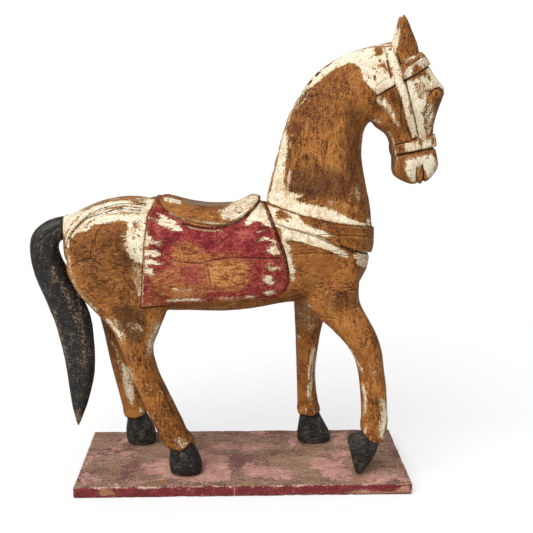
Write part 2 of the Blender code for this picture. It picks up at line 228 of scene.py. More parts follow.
# Carved lines that are both a groove and a dark crack
CROUP_OUTER = (
    (145, 205), (122, 203.5), (112, 205.5), (100, 209), (90, 214), (81.5, 220.5), (74, 229),
    (68, 237.5), (65.5, 248),
)
CROUP_INNER = (
    (141, 210.5), (133, 209.5), (121.5, 208.5), (108, 212), (96.5, 215), (85.5, 219), (77.5, 226.5),
    (71.5, 233), (68.5, 239),
)
CROUP_GAP = ((106.5, 212), (113, 210), (121.5, 207.5))
BROW_UPPER = ((408.5, 66), (415, 62), (421, 57.5))
BROW_LOWER = ((404.5, 80.5), (415, 75.5), (421, 71.5), (428.5, 66.5))
THROAT_EDGE = ((377, 96), (385, 91.5), (394.5, 86))
NOSE_BAND_EDGE = ((397, 155.5), (408, 153.5), (415, 152), (436, 147.5))
MOUTH = ((422.5, 165.5), (423.5, 172), (423.5, 186))
NOSTRIL = ((417, 168), (416.5, 176), (417.5, 184))
EYELID = ((431, 92.5), (434.5, 88.5), (439.5, 87.5), (443.5, 91.5))

# Grooves: depth as a share of the full depth, width in pixels, line
GROOVES = {
    "croup, outer": (0.8, 1.1, CROUP_OUTER),
    "croup, inner": (0.8, 1.1, CROUP_INNER),
    "croup, gap": (1.0, 1.5, CROUP_GAP),
    "saddle": (1.0, 1.6, SADDLE_GROOVE),
    "cloth's front edge": (0.9, 1.5, (
        (264.5, 199), (270, 211), (274.5, 226), (279, 238), (284, 250), (287, 262), (289.5, 273),
        (289.5, 282), (285, 291),
    )),
    "cloth's back edge": (0.5, 1.0, CLOTH_BACK),
    "breast strap": (1.0, 1.5, BREAST_GROOVE),
    "cheek strap": (0.8, 1.0, ((405.5, 80.5), (407.5, 88), (411.5, 103.5), (415, 118), (419, 136))),
    "brow, upper": (0.8, 1.0, BROW_UPPER),
    "brow, lower": (0.9, 1.0, BROW_LOWER),
    "throat strap": (0.8, 1.0, THROAT_EDGE),
    "nose strap, upper": (0.8, 1.0, ((396.5, 144.5), (409, 141.5))),
    "nose strap, lower": (0.9, 1.2, NOSE_BAND_EDGE),
    "mouth": (1.0, 1.2, MOUTH),
    "nostril": (0.8, 1.0, NOSTRIL),
    "eyelid": (0.8, 1.0, EYELID),
    "jaw": (0.5, 1.0, ((389, 136), (394, 149), (395, 158), (394.5, 172))),
    "ear": (0.5, 1.0, ((401, 64), (407, 60.5), (417, 54.5))),
    "tail's crease": (0.6, 1.4, ((60, 227), (47, 234.5), (40, 241.5), (39, 256))),
}

# Middles of the dark dots on the head and of the pupil, their radius and their edges in radii
DARK_DOTS = (
    (418, 88.5), (420.5, 92.5), (423.5, 90), (421.5, 97.5), (425.5, 86), (416, 84), (428.6, 77),
    (429, 79.5), (436.6, 93.7), (371.5, 67.5), (374.5, 70.5), (378.5, 70), (379.5, 75.5),
    (370.5, 75), (374.5, 77), (383, 66.5), (380.5, 60), (376, 64.5), (384.5, 71.5), (372, 82),
    (377, 83.5),
)
DOT_RADIUS = 0.9
DOT_EDGE = (0.6, 1.3)
DOT_SHAPE = (1.0, 0.75)

# Cracks in the wood and dark lines in the paint: strength, half width in pixels, line
CRACKS = {
    "cloth, along": (1.0, 0.42, (
        (174.5, 260.5), (182, 262.5), (200.5, 263.5), (212.5, 260.5), (227.5, 258), (252.5, 257.5),
        (270, 259), (281, 258.5),
    )),
    "cloth, down": (0.8, 0.4, ((207.5, 264.5), (209, 274.5), (211, 286.5))),
    "cloth, slanting": (0.7, 0.35, ((236.5, 229), (221, 243), (215.5, 247))),
    "cloth, seam": (0.5, 0.3, ((236, 228.5), (252, 227.5), (269, 227.5))),
    "shoulder": (0.9, 0.35, ((295, 254.5), (311.5, 252.5), (337, 254.5), (348, 255.5))),
    "strap": (0.9, 0.4, ((315.5, 235.5), (327, 234.5), (348, 235.5), (368, 236.5), (374, 239))),
    "rump, front": (1.0, 0.45, ((103, 225), (97.5, 231.5), (95, 237.5), (95, 244.5))),
    "rump, back": (1.0, 0.45, ((92.5, 240.5), (91.5, 248), (90, 258))),
    "rump, along": (1.0, 0.4, ((70.5, 267), (78, 261.5), (87.5, 258.5), (93, 259), (103, 266.5))),
    "rump, to the cloth": (0.8, 0.35, ((113, 263), (127, 267), (140.5, 264.5))),
    "cheek": (0.9, 0.45, ((402, 99.5), (401, 113), (402.5, 129))),
    "poll": (1.0, 0.5, ((386.5, 61.5), (391, 76))),
    "breast": (0.8, 0.55, ((340, 293.5), (347, 290.5), (357, 289.5))),
    "breast, down": (0.6, 0.4, ((345, 292), (347.5, 300), (347, 310))),
    "arm": (0.55, 0.4, ((313, 312), (322, 317), (336, 318.5))),
    "near hind leg": (0.7, 0.4, ((159, 383), (165, 396), (172, 411))),
    "upper chest band": (0.8, 0.35, (
        (271, 204.5), (286, 210), (302.5, 216), (322, 220.5), (340, 224.5), (372, 228),
    )),
    "under the lower band": (0.5, 0.3, ((291, 240.5), (308, 245), (333, 253))),
    "croup, outer": (0.85, 0.45, CROUP_OUTER),
    "croup, inner": (0.85, 0.45, CROUP_INNER),
    "croup, gap": (1.0, 0.75, CROUP_GAP),
    "saddle": (0.95, 0.8, SADDLE_GROOVE),
    "pommel": (1.0, 0.9, ((245, 216), (252.5, 210), (258, 203), (260, 197))),
    "cloth's front edge": (1.0, 1.0, (
        (261, 198), (266, 204.5), (270, 213), (274.5, 226), (279, 238), (284, 250), (287, 262),
        (289, 273),
    )),
    "cloth's back edge": (0.5, 0.4, CLOTH_BACK),
    "cloth's foot": (0.6, 0.5, ((141, 308), (159, 306.5), (166, 306))),
    "breast strap": (1.0, 0.95, BREAST_GROOVE),
    "cheek strap": (1.0, 0.42, (
        (405.5, 80.5), (407.5, 88), (411.5, 103.5), (415, 118), (418, 135),
    )),
    "brow, upper": (1.0, 0.5, BROW_UPPER),
    "brow, lower": (1.0, 0.5, BROW_LOWER),
    "throat strap": (1.0, 0.5, THROAT_EDGE),
    "nose strap, upper": (1.0, 0.5, ((396.5, 144.5), (409, 141.5))),
    "nose strap, lower": (1.0, 0.7, NOSE_BAND_EDGE),
    "mouth": (1.0, 0.85, MOUTH),
    "nostril": (0.9, 0.55, NOSTRIL),
    "eyelid": (1.0, 0.5, EYELID),
    "pupil": (1.0, 1.3, ((436.6, 93.3), (436.6, 94.1))),
    "ear": (0.9, 0.4, ((398, 53), (401, 64), (407, 60.5))),
}

# Worn paint and dirt, with some painted shade and highlight, in pixels of the photograph: how much of the
# patch is covered, outline
CREAM_PATCHES = {
    "mane over the withers": (0.97, (
        (270.5, 191.5), (272.5, 179), (277, 159.5), (282, 136), (285.5, 129), (288.5, 134.5),
        (287.5, 150.5), (285.5, 168), (284, 180.5), (286, 189),
    )),
    "strip beside the mane": (0.85, (
        (285.5, 188), (290.5, 189), (291, 172), (289, 169.5), (287, 180.5),
    )),
    "mane to the poll": (1.0, (
        (303.5, 89.5), (307, 81.5), (321.5, 71), (330.5, 62), (343, 55), (357, 49.5), (375, 46.5),
        (393, 46.5), (386.5, 52), (390, 73.5), (393, 81.5), (377.5, 96), (373, 89), (364.5, 82.5),
        (361.5, 73.5), (359.5, 68), (352.5, 62.5), (346.5, 64), (335.5, 69), (325, 77),
        (312.5, 86.5), (307, 90),
    )),
    "cheek strap": (0.97, (
        (386, 51), (388, 61), (391, 73), (395, 85), (399.5, 94.5), (404, 111), (409, 129),
        (412, 138), (418, 136), (414, 118), (410.5, 104), (406.5, 86), (401.5, 76), (400, 66),
        (397, 57), (392.5, 50),
    )),
    "throat strap": (0.97, (
        (376, 87.5), (379.5, 83), (393.5, 76), (395.5, 85), (383, 92.5), (377, 95.5),
    )),
    "brow band": (0.72, (
        (401, 72), (407.5, 66.5), (419.5, 58), (422, 52), (423.5, 51.5), (430.5, 61.5), (428, 67),
        (422, 71.5), (415, 76), (406.5, 80), (403.5, 79.5),
    )),
    "face panel": (0.92, (
        (405.5, 81), (415, 79), (424, 74), (428, 80), (430, 90), (428, 98), (425, 106), (424, 116),
        (425, 126), (427, 139), (417, 139.5), (414, 124), (411, 106), (407.5, 90),
    )),
    "face, front flecks": (0.56, (
        (428, 98), (434, 103), (436, 112), (434, 124), (430, 136), (427, 136), (425, 120),
        (425, 106),
    )),
    "forehead": (0.97, (
        (426, 68), (429, 66), (436, 74.5), (443, 83), (445, 90), (444, 94), (441, 89), (436, 87.5),
        (431.5, 91.5), (428, 87.5), (426, 78),
    )),
    "nose band": (0.94, (
        (405, 143), (409, 142), (419.5, 140.5), (430, 138.5), (433.5, 134.5), (435.5, 136),
        (436.5, 146.5), (429, 148.5), (419.5, 150), (409, 152), (404.5, 152),
    )),
    "muzzle": (0.86, (
        (404.5, 161), (410, 157), (420, 154), (431, 152.5), (436, 158), (438, 166), (434.5, 175),
        (427, 179), (424.5, 170), (421, 166), (418, 169), (416.5, 182), (412, 184), (407, 176),
        (404, 168),
    )),
    "side of the ear": (0.88, (
        (397.5, 28), (400, 24.5), (401, 30.5), (399.5, 38.5), (399, 44.5), (397, 49), (396.5, 55),
        (392, 50), (390.5, 45.5), (392, 37.5), (395, 30.5),
    )),
    "upper chest band": (0.98, (
        (265, 199.5), (269.5, 191.5), (278.5, 189.5), (291, 191), (302, 194.5), (302.5, 197),
        (295, 199), (303.5, 203), (319.5, 206), (332, 208.5), (341, 213), (350, 218), (360.5, 222),
        (372, 223.5), (372, 226), (357, 225.5), (339.5, 223.5), (321.5, 220), (302, 215.5),
        (285.5, 209.5), (271.5, 204),
    )),
    "chest panel": (1.0, (
        (267, 205), (277, 207.5), (287.5, 211), (300, 216), (303.5, 222), (312.5, 227),
        (325, 231.5), (335.5, 237), (325, 237.5), (310.5, 233.5), (294.5, 229.5), (284, 229.5),
        (273, 225.5), (269.5, 214.5),
    )),
    "lower chest band": (0.98, (
        (280.5, 225.5), (287.5, 227), (302, 231.5), (316, 234), (328.5, 241), (339.5, 247.5),
        (348, 253.5), (351.5, 258.5), (344.5, 258), (332, 252.5), (321.5, 248), (307, 244.5),
        (291, 240), (282, 236.5),
    )),
    "strip before the cloth": (0.84, (
        (279, 232), (288, 236), (291, 246), (293, 262), (296, 282), (290.5, 283), (287, 268),
        (283, 250),
    )),
    "patch under the strap": (0.72, (
        (352, 254), (361, 250), (372, 251), (372, 260), (366, 268), (358, 267), (354, 260),
    )),
    "patch at the neck's foot": (0.6, (
        (351, 189), (356, 186), (360, 188), (361, 199.5), (357, 200.5), (352.5, 196),
    )),
    "spot over the chest": (0.8, (
        (328, 201), (332.5, 200), (336, 202), (335.5, 205.5), (331, 206),
    )),
    "edge of the chest": (0.8, ((364.5, 219.5), (371, 217.5), (372, 222.5), (367, 223.5))),
    "cheek": (0.82, (
        (375, 98), (380, 96.5), (386, 99), (390, 104), (393, 110), (397, 118), (398, 126),
        (393, 121), (388, 113), (383, 107), (378, 103),
    )),
    "hip, notch of cream": (0.62, ((120, 238), (127, 236), (128, 252), (122, 250))),
    "near thigh, worn cream": (0.5, (
        (108, 314), (118, 318), (126, 330), (127, 346), (118, 338), (110, 326),
    )),
    "near thigh, middle flecks": (0.5, ((128, 322), (139, 321), (141, 331), (131, 333))),
    "near thigh, front flecks": (0.55, (
        (152, 318), (161, 322), (158, 342), (151, 356), (147, 350), (150, 334),
    )),
    "far arm, worn cream": (0.44, (
        (297, 304), (308, 306), (318, 318), (318, 330), (306, 330), (300, 318),
    )),
    "far fore, streak's foot": (0.66, ((307, 384), (312, 386), (313, 402), (308, 398))),
    "near fore, front streak": (0.66, (
        (378, 396), (384, 400), (387, 420), (385, 440), (380, 440), (381, 420),
    )),
    "near thigh, flecks behind": (0.45, ((114, 346), (122, 352), (124, 372), (117, 366))),
    "croup": (0.97, (
        (60.5, 218), (77.5, 210.5), (96.5, 202.5), (115.5, 197.5), (138.5, 197), (156, 198.5),
        (152, 206.5), (147, 216), (145.5, 233), (143.5, 254), (142.5, 265.5), (131.5, 260),
        (127.5, 254), (124.5, 250.5), (127, 245), (126, 233), (128.5, 222.5), (119.5, 221),
        (110, 222), (104, 224), (94.5, 224.5), (87, 231), (77.5, 233), (71, 240), (69, 250.5),
        (66, 246.5), (63.5, 235), (61, 227.5),
    )),
    "strip behind the cloth": (0.56, (
        (131.5, 259.5), (142.5, 262), (142.5, 304), (140, 311.5), (137, 296.5), (133.5, 281),
    )),
    "cantle": (0.85, (
        (162.5, 197), (173, 197), (183, 201), (182, 205.5), (173, 204.5), (164, 201.5),
    )),
    "pommel": (0.8, (
        (258, 192.5), (246, 196.5), (232.5, 201.5), (224.5, 207.5), (219, 213), (223, 220),
        (232.5, 222), (242, 218), (251.5, 208.5), (259, 201),
    )),
    "cloth, upper back corner": (0.92, (
        (155.5, 212), (163.5, 214), (172, 219.5), (178, 222.5), (184.5, 231.5), (177, 231.5),
        (171.5, 228), (165.5, 226.5), (160.5, 223), (156, 219.5), (160, 218),
    )),
    "cloth, white by the back edge": (0.82, (
        (145, 231), (148.5, 232), (149.5, 240), (148, 248), (144.5, 246),
    )),
    "pommel's streaks": (0.6, (
        (226, 212), (240, 205), (246, 212), (240, 221), (230, 222), (222, 219),
    )),
    "cloth, tooth's root": (0.8, ((144, 248), (150, 248.5), (149, 257), (144, 257))),
    "cloth, third root": (0.8, ((144, 258.5), (149.5, 259), (149, 266), (144, 266))),
    "cloth, first tooth": (0.9, (
        (147, 234.5), (152, 236), (161.5, 242.5), (160.5, 246), (152, 244.5), (146.5, 242.5),
    )),
    "cloth, second tooth": (0.9, (
        (144.5, 250), (154, 249), (165, 253.5), (164.5, 256.5), (154, 257), (144, 254),
    )),
    "cloth, third tooth": (0.9, (
        (144, 259.5), (152, 259), (163, 263), (161.5, 265.5), (152, 265), (143.5, 263.5),
    )),
    "cloth, fourth tooth": (0.85, (
        (143.5, 269), (152, 268.5), (155.5, 274.5), (154.5, 276.5), (144, 275.5),
    )),
    "cloth, front top": (0.95, (
        (259.5, 200.5), (265.5, 209), (271, 221.5), (271, 227.5), (263, 223.5), (255.5, 222),
        (246, 227.5), (243.5, 223.5), (249.5, 214),
    )),
    "cloth, front second": (0.84, (
        (256.5, 241), (267, 236), (272.5, 237.5), (278, 244), (267, 241), (259, 242.5),
    )),
    "cloth, front third": (0.9, (
        (265.5, 246.5), (276.5, 244), (280.5, 252.5), (279.5, 256.5), (270.5, 255.5),
        (266.5, 251.5),
    )),
    "cloth, front fourth": (0.9, (
        (265, 274.5), (270.5, 273), (275.5, 283), (274.5, 287), (267, 285), (263.5, 279),
    )),
    "cloth, front lowest": (0.9, (
        (262.5, 290.5), (274.5, 289.5), (276.5, 293.5), (268.5, 296), (263.5, 294.5),
    )),
    "near hind pastern": (0.58, (
        (173, 438.5), (179.5, 436.5), (188.5, 440.5), (189.5, 443.5), (183, 448), (176.5, 448),
    )),
    "far hind shin": (0.76, (
        (121.5, 363.5), (127, 365.5), (132.5, 371.5), (134.5, 379.5), (134, 392), (135, 401),
        (132.5, 409.5), (130.5, 405), (125.5, 394.5), (122.5, 385.5), (121.5, 374),
    )),
    "far fore arm": (0.5, (
        (295.5, 308.5), (303.5, 314.5), (316.5, 321.5), (319.5, 324), (312, 331.5), (303.5, 331),
        (296.5, 327),
    )),
}
CREAM_STROKES = {
    "thin mane": (0.76, 2.9, ((286.5, 127), (291, 113), (302, 95.5), (305.5, 87))),
    "mane fringe": (0.65, 3.2, ((294, 109.5), (303.5, 101), (309, 91.5))),
    "brush mark by the mane": (0.7, 1.1, ((292, 135), (290.5, 148.5))),
    "brush mark over the chest": (0.8, 1.2, ((335.5, 202.5), (348, 206))),
    "chest pleat": (0.9, 1.4, ((324.5, 221), (324.5, 231.5))),
    "streaks by the strap": (0.65, 2.5, ((354.5, 227), (366, 227))),
    "flecks on the strap": (0.7, 1.4, ((350, 236), (366, 238.5))),
    "neck's front edge": (0.65, 2.5, ((363, 130.5), (359.5, 148.5))),
    "under the ear": (0.86, 3, ((403, 62.5), (409, 59), (417, 55), (421.5, 51.5))),
    "mane's outer edge": (0.92, 3.4, (
        (266.5, 196), (271.5, 172), (277, 150), (281.5, 134), (286, 123),
    )),
    "mane's upper edge": (0.84, 3.2, (
        (304.5, 85), (321, 69), (341, 54.5), (358, 48.5), (375, 45.5), (392, 45),
    )),
    "cloth, thin stroke": (0.95, 2.4, ((148.5, 217.5), (154.5, 221))),
    "cloth, stroke by the corner": (0.9, 2.4, ((158, 223.5), (167, 226.5), (174, 230.5))),
    "cloth, stroke under the lip": (0.8, 2, ((188, 227), (204, 230.5), (222, 231))),
    "cloth, hem, long": (0.95, 3, ((167, 301), (185, 299.5), (202, 299))),
    "cloth, hem, second": (0.85, 2.4, ((214, 299), (232, 298), (256, 296))),
    "cloth, upper dashes": (0.95, 2.6, ((171, 288.5), (179.5, 290))),
    "cloth, upper dashes, right": (0.9, 2.4, ((181, 292), (190.5, 290.5))),
    "far fore, long streak": (0.8, 3.2, ((313, 346), (312, 372), (310, 400))),
    "cheek": (0.7, 4, ((378.5, 97.5), (382.5, 96.5), (386.5, 101.5), (392.5, 112.5), (399, 125.5))),
    "under the cheek": (0.72, 4, ((372, 120), (379, 121.5))),
    "jaw": (0.72, 3.1, ((389.5, 132), (392.5, 138.5), (395.5, 147.5), (395.5, 155))),
    "jaw's arris": (0.95, 1.3, ((397, 157), (396, 170.5))),
    "side of the nose": (0.8, 4, ((431.5, 113), (430, 121))),
    "flecks under the brow": (0.7, 2.8, ((413.5, 81.5), (423, 80.5))),
    "nose's edge": (0.6, 1.9, ((436, 159.5), (438.5, 166.5))),
    "saddle's lip": (0.84, 2.5, (
        (170, 213.5), (182.5, 218.5), (201.5, 222.5), (223, 224), (234.5, 222.5),
    )),
    "pommel's face": (0.7, 3.8, ((219, 211), (236, 209))),
    "cloth, upper back edge": (0.86, 2.3, ((148, 217), (162, 226))),
    "cloth, back edge": (0.76, 1.3, ((144.5, 233), (143, 277), (142.5, 302))),
    "cloth, dashes": (0.7, 1.9, ((173, 290), (178.5, 291.5))),
    "cloth, longer dashes": (0.7, 1.9, ((181, 290.5), (190.5, 290))),
    "cloth, low speck": (0.85, 2.7, ((148.5, 303.5), (149.5, 305))),
    "cloth, low dash": (0.7, 2.3, ((159.5, 293.5), (166, 294.5))),
    "cloth, hem": (0.85, 2.5, ((166.5, 301), (182.5, 300), (201.5, 300.5))),
    "cloth, hem in front": (0.76, 1.3, ((226.5, 298.5), (252, 297))),
    "cloth, front first": (0.82, 2.7, ((255.5, 231.5), (266, 231))),
    "cloth, front haze": (0.52, 7.7, ((267, 265.5), (278.5, 268.5))),
    "cloth, front edge": (0.6, 2.3, ((268.5, 225.5), (274.5, 231))),
    "buttock": (0.6, 4.2, ((67, 250.5), (70, 269.5), (76, 287), (84, 299), (96.5, 310))),
    "rump speck": (0.7, 2.3, ((81, 263.5), (82.5, 264.5))),
    "hip flecks": (0.62, 3.1, ((122, 236), (125.5, 241))),
    "near thigh, back": (0.77, 5.1, ((108, 320), (115.5, 329.5), (122, 334.5))),
    "near thigh, back edge": (0.89, 2.3, ((117.5, 332), (123.5, 345))),
    "near thigh, middle": (0.67, 8.9, ((131, 325.5), (139, 329.5))),
    "near thigh, strip": (0.71, 1.8, ((139.5, 311.5), (140.5, 320.5))),
    "near thigh, front": (0.65, 5.6, ((159, 325.5), (152.5, 337), (147.5, 356.5))),
    "near shin fleck": (0.75, 1.5, ((145, 384), (148.5, 385))),
    "near shin edge": (0.77, 1.3, ((159.5, 387), (163.5, 396))),
    "near shin, low edge": (0.77, 1.5, ((157, 422.5), (161.5, 431.5))),
    "far thigh": (0.67, 3.3, ((111.5, 341), (118, 354))),
    "far hock": (0.65, 2.8, ((120, 365.5), (121, 376.5))),
    "far hind pastern": (0.93, 3.8, ((140.5, 409.5), (141.5, 411))),
    "far hind shin, low": (0.75, 1.8, ((132, 408.5), (132.5, 414.5))),
    "near arm, back edge": (0.93, 2.2, ((350.5, 349.5), (354, 358), (360, 366), (363, 372))),
    "near knee, back": (0.79, 4.2, ((362.5, 384.5), (365.5, 397), (364.5, 414))),
    "near fore pastern": (0.85, 3.1, ((366, 428), (363.5, 436.5))),
    "near knee, front": (0.65, 2.5, ((368, 355), (371.5, 372))),
    "near knee, front flecks": (0.6, 3.4, ((373, 365), (375, 376))),
    "near fore shin": (0.84, 5.1, ((382, 400), (385.5, 409.5), (384.5, 422.5), (381.5, 436.5))),
    "near fore, low flecks": (0.77, 2.8, ((379.5, 421), (380, 436.5))),
    "shoulder edge": (0.65, 1.7, ((357.5, 296), (358.5, 313))),
    "far arm, low": (0.71, 3.4, ((299, 334), (299, 339.5))),
    "far fore shin": (0.96, 3.4, ((314, 348), (310.5, 362), (308.5, 373), (308, 398.5))),
    "far fore edge": (0.81, 2, ((316, 350), (314.5, 373), (316.5, 391.5))),
    "far fore, low": (0.89, 2.2, ((306, 408.5), (306, 413))),
    "far fore, low specks": (0.77, 1.4, ((310.5, 401.5), (314.5, 413))),
    "far fore, back edge": (0.65, 1.4, ((295.5, 308.5), (296, 339.5))),
    "far fore, back flecks": (0.65, 2, ((298, 367.5), (298, 373))),
    "belly fleck": (0.92, 2.5, ((304.5, 304), (310.5, 306.5))),
    "belly's edge": (0.6, 1.7, ((188.5, 309.5), (221, 308))),
    "breast speck": (0.75, 1.4, ((326, 289.5), (327, 293))),
}
BARE_PATCHES = {
    "poll": (0.95, ((374.5, 47), (381, 47), (383.5, 52), (380.5, 56), (376, 55.5))),
    "chest hole": (0.95, (
        (276.5, 211.5), (281.5, 209.5), (285.5, 214), (288, 218.5), (282, 218), (277, 219.5),
    )),
    "brow band spot": (0.8, ((413, 69.5), (417, 66.5), (422, 66.5), (420.5, 71), (415, 73))),
    "brow band end": (0.8, ((420, 52.5), (423.5, 52), (426, 56), (422, 57.5))),
    "eye": (0.95, (
        (432.5, 92), (435, 89), (439.5, 88), (443, 91), (444, 95), (441, 101), (438.5, 106),
        (435, 114), (433.5, 112), (436.5, 105), (437, 100), (433.5, 97),
    )),
    "face mottles": (0.34, ((414, 84), (424, 82), (428, 92), (424, 100), (416, 98))),
    "forehead spot": (0.7, ((427.5, 74), (430, 74.5), (430, 79), (428, 79))),
    "nose band spots": (0.55, ((418.5, 141.5), (422, 141.5), (421.5, 146), (419, 146))),
    "nose band end": (0.7, ((431.5, 138), (434.5, 137), (435, 144), (432, 145))),
    "back": (0.85, ((114.5, 195.5), (138.5, 195), (139, 198), (127, 198.5), (115.5, 198))),
    "croup worn": (0.45, ((127, 198.5), (142.5, 198.5), (146.5, 204.5), (135, 205))),
}
BARE_STROKES = {
    "between the manes": (0.9, 1.8, ((286.5, 172), (285.5, 180.5), (286.5, 187))),
    "beside the cheek strap": (0.95, 1.5, ((387.5, 61), (389.5, 69), (391, 76))),
    "croup, upper streak": (0.62, 1.3, (
        (141, 208), (122, 206), (110, 208.5), (98, 212.5), (88, 217.5), (79.5, 224.5),
        (72.5, 232.5), (69, 243),
    )),
    "croup, back's edge": (0.6, 2, (
        (143, 200.5), (125, 199), (110, 200.5), (96, 205), (84, 210.5),
    )),
    "croup, lower streak": (0.5, 1.2, (
        (138, 214), (122, 212.5), (108, 215.5), (96, 219), (84, 226),
    )),
    "croup, streak by the tail": (0.55, 1.6, ((80, 216), (72, 224), (66.5, 233), (63.5, 244))),
    "croup, down streaks": (0.55, 1.4, ((134, 222), (133.5, 238), (135.5, 256))),
    "croup, down streaks, front": (0.5, 1.2, ((139, 214), (139.5, 232), (140.5, 250))),
    "poll mark": (0.95, 2.2, ((380, 65), (383.5, 64), (387, 69.5))),
    "chest hole, upper teeth": (0.9, 1.6, ((284, 212.5), (291.5, 217.5))),
    "chest hole, lower teeth": (0.9, 1.4, ((282, 216.5), (288, 221.5))),
    "under the upper band": (0.8, 0.9, ((302, 216.5), (321.5, 221), (339.5, 224.5))),
}
CRIMSON_PATCHES = {
    "cloth": (0.56, (
        (157, 198), (153, 207), (148, 216), (146, 226), (143.5, 245), (142.5, 272), (141, 307.5),
        (159, 305.5), (195, 302.5), (239, 300), (274, 296.5), (284, 292), (289, 284), (290, 277.5),
        (287.5, 262.5), (279.5, 238.5), (271, 214.5), (266.5, 204), (260, 199.5), (249, 214),
        (226, 226), (195, 226), (172, 214),
    )),
    "cloth top": (0.97, (
        (152, 206), (165.5, 208.5), (173, 218), (186.5, 223.5), (211.5, 228), (230.5, 226),
        (246, 218), (259, 201.5), (271, 218), (278.5, 237), (284, 252.5), (287, 258.5),
        (211.5, 260.5), (203.5, 250.5), (188.5, 241), (173, 242.5), (171, 254), (173, 260),
        (152, 265.5), (143.5, 254), (145.5, 233), (148, 218),
    )),
    "cloth back": (0.85, (
        (143.5, 254), (173, 261.5), (165.5, 270), (152, 271.5), (147, 292.5), (146.5, 305),
        (142, 305.5), (143, 277),
    )),
    "cloth front": (0.88, (
        (252.5, 261), (286.5, 258), (290, 277), (288, 289), (278.5, 298), (255.5, 298.5),
        (240, 296.5), (247.5, 281),
    )),
    "cloth middle": (0.72, ((177, 263.5), (203.5, 265.5), (204.5, 281), (192, 285), (179, 277))),
    "cloth foot": (0.78, (
        (203.5, 292.5), (230.5, 290.5), (251.5, 294.5), (251.5, 298), (203.5, 299.5),
    )),
}
CRIMSON_STROKES = {
    "hem": (0.95, 2.3, (
        (166.5, 303), (182.5, 302), (201.5, 301.5), (226.5, 299.5), (252.5, 296.5),
    )),
    "saddle's lip": (0.8, 2.3, ((231.5, 224.5), (244, 219), (254.5, 209), (259, 200.5))),
}
WORN_PATCHES = {
    "cloth, upper": (0.66, (
        (171, 243.5), (186.5, 241.5), (203.5, 250.5), (211.5, 254), (223, 250.5), (246, 254),
        (246, 259.5), (203.5, 260.5), (173, 258.5),
    )),
    "cloth, middle": (0.95, (
        (208.5, 263.5), (223, 261.5), (247.5, 262), (249.5, 277), (240, 285), (211.5, 285.5),
    )),
    "cloth, lower": (0.34, (
        (150, 277), (177, 285), (207.5, 288.5), (203.5, 296.5), (157.5, 297), (148, 296.5),
    )),
}
# Dark dirt and stains on the wood, and painted shade: under the brow band, along the belly's foot, and
# partly on the neck's front and over the neck's foot
GRIME_AND_SHADE_PATCHES = {
    "shoulder": (0.42, (
        (326, 299), (337.5, 294.5), (346, 303), (344.5, 314.5), (334.5, 315.5), (327.5, 307.5),
    )),
    "breast": (0.38, ((339, 294.5), (354, 293), (360, 306), (353, 317), (343, 303))),
    "thigh": (0.62, (
        (108, 303), (128, 303), (147, 310), (147, 330), (142, 346), (130, 344), (115, 324),
    )),
    "neck, back": (0.3, (
        (287, 126), (297, 116), (305, 135), (305, 165), (296, 178), (284, 178), (283, 150),
    )),
    # Partly painted shade on the neck's front side
    "neck, front": (0.5, (
        (349, 98), (362, 110), (364, 140), (363, 175), (367, 208), (352, 206), (345, 170),
        (343, 130),
    )),
    # Partly painted shade over the neck's foot
    "neck's foot, wide": (0.5, (
        (284, 170), (310, 163), (338, 168), (352, 184), (348, 202), (320, 199), (286, 192),
    )),
    "rump": (0.3, (
        (72, 240), (90, 226), (120, 230), (140, 255), (138, 302), (112, 306), (90, 298), (72, 272),
    )),
    "hip, dark": (0.5, ((118, 254), (130, 251), (140, 257), (140, 278), (125, 276), (118, 264))),
    "breast's dark stain": (0.5, (
        (337, 291), (342, 289), (346, 293), (347, 301), (344, 309), (339, 311), (334, 305),
        (333, 297),
    )),
    "under the jaw": (0.35, (
        (376, 104), (384, 112), (392, 130), (396, 146), (388, 134), (378, 118),
    )),
    "neck's foot": (0.62, ((321.5, 180.5), (328.5, 173.5), (335.5, 177), (334, 188), (325, 190.5))),
    "neck's foot, lower": (0.55, ((314.5, 192.5), (327, 189.5), (328.5, 198.5), (319.5, 200.5))),
    "cheek": (0.5, ((396, 87.5), (402, 99.5), (404, 117), (402, 130), (398.5, 118), (393.5, 99.5))),
    # Painted shade under the brow band
    "under the brow": (0.7, ((416, 76.5), (426.5, 70.5), (425.5, 76), (422, 78.5), (417, 80.5))),
    "chin": (0.7, (
        (389, 138.5), (393.5, 146.5), (395, 158.5), (394, 172.5), (392, 170), (391, 152.5),
    )),
    "muzzle sides": (0.45, (
        (397.5, 157), (404, 156), (405.5, 167.5), (409, 179.5), (398.5, 173.5),
    )),
    "hip": (0.4, ((126, 248.5), (133, 252.5), (133, 277), (127, 285), (123.5, 265.5))),
    "croup by the saddle": (0.5, ((142.5, 207.5), (152, 206.5), (147, 220), (142.5, 220))),
    "cloth, grey smear": (0.6, (
        (184.5, 230.5), (192, 229.5), (208.5, 234), (206.5, 236), (188.5, 234),
    )),
    "seat's hollow": (0.55, (
        (188.5, 200.5), (203.5, 203.5), (226.5, 203.5), (234.5, 202), (226.5, 206.5),
        (203.5, 207.5), (190.5, 205),
    )),
    # Painted shade along the belly's foot
    "belly's shade": (0.3, (
        (146.5, 306), (165.5, 306), (192, 307), (230.5, 304), (268.5, 300), (268.5, 302),
        (230.5, 310.5), (192, 311.5), (165.5, 310.5),
    )),
}
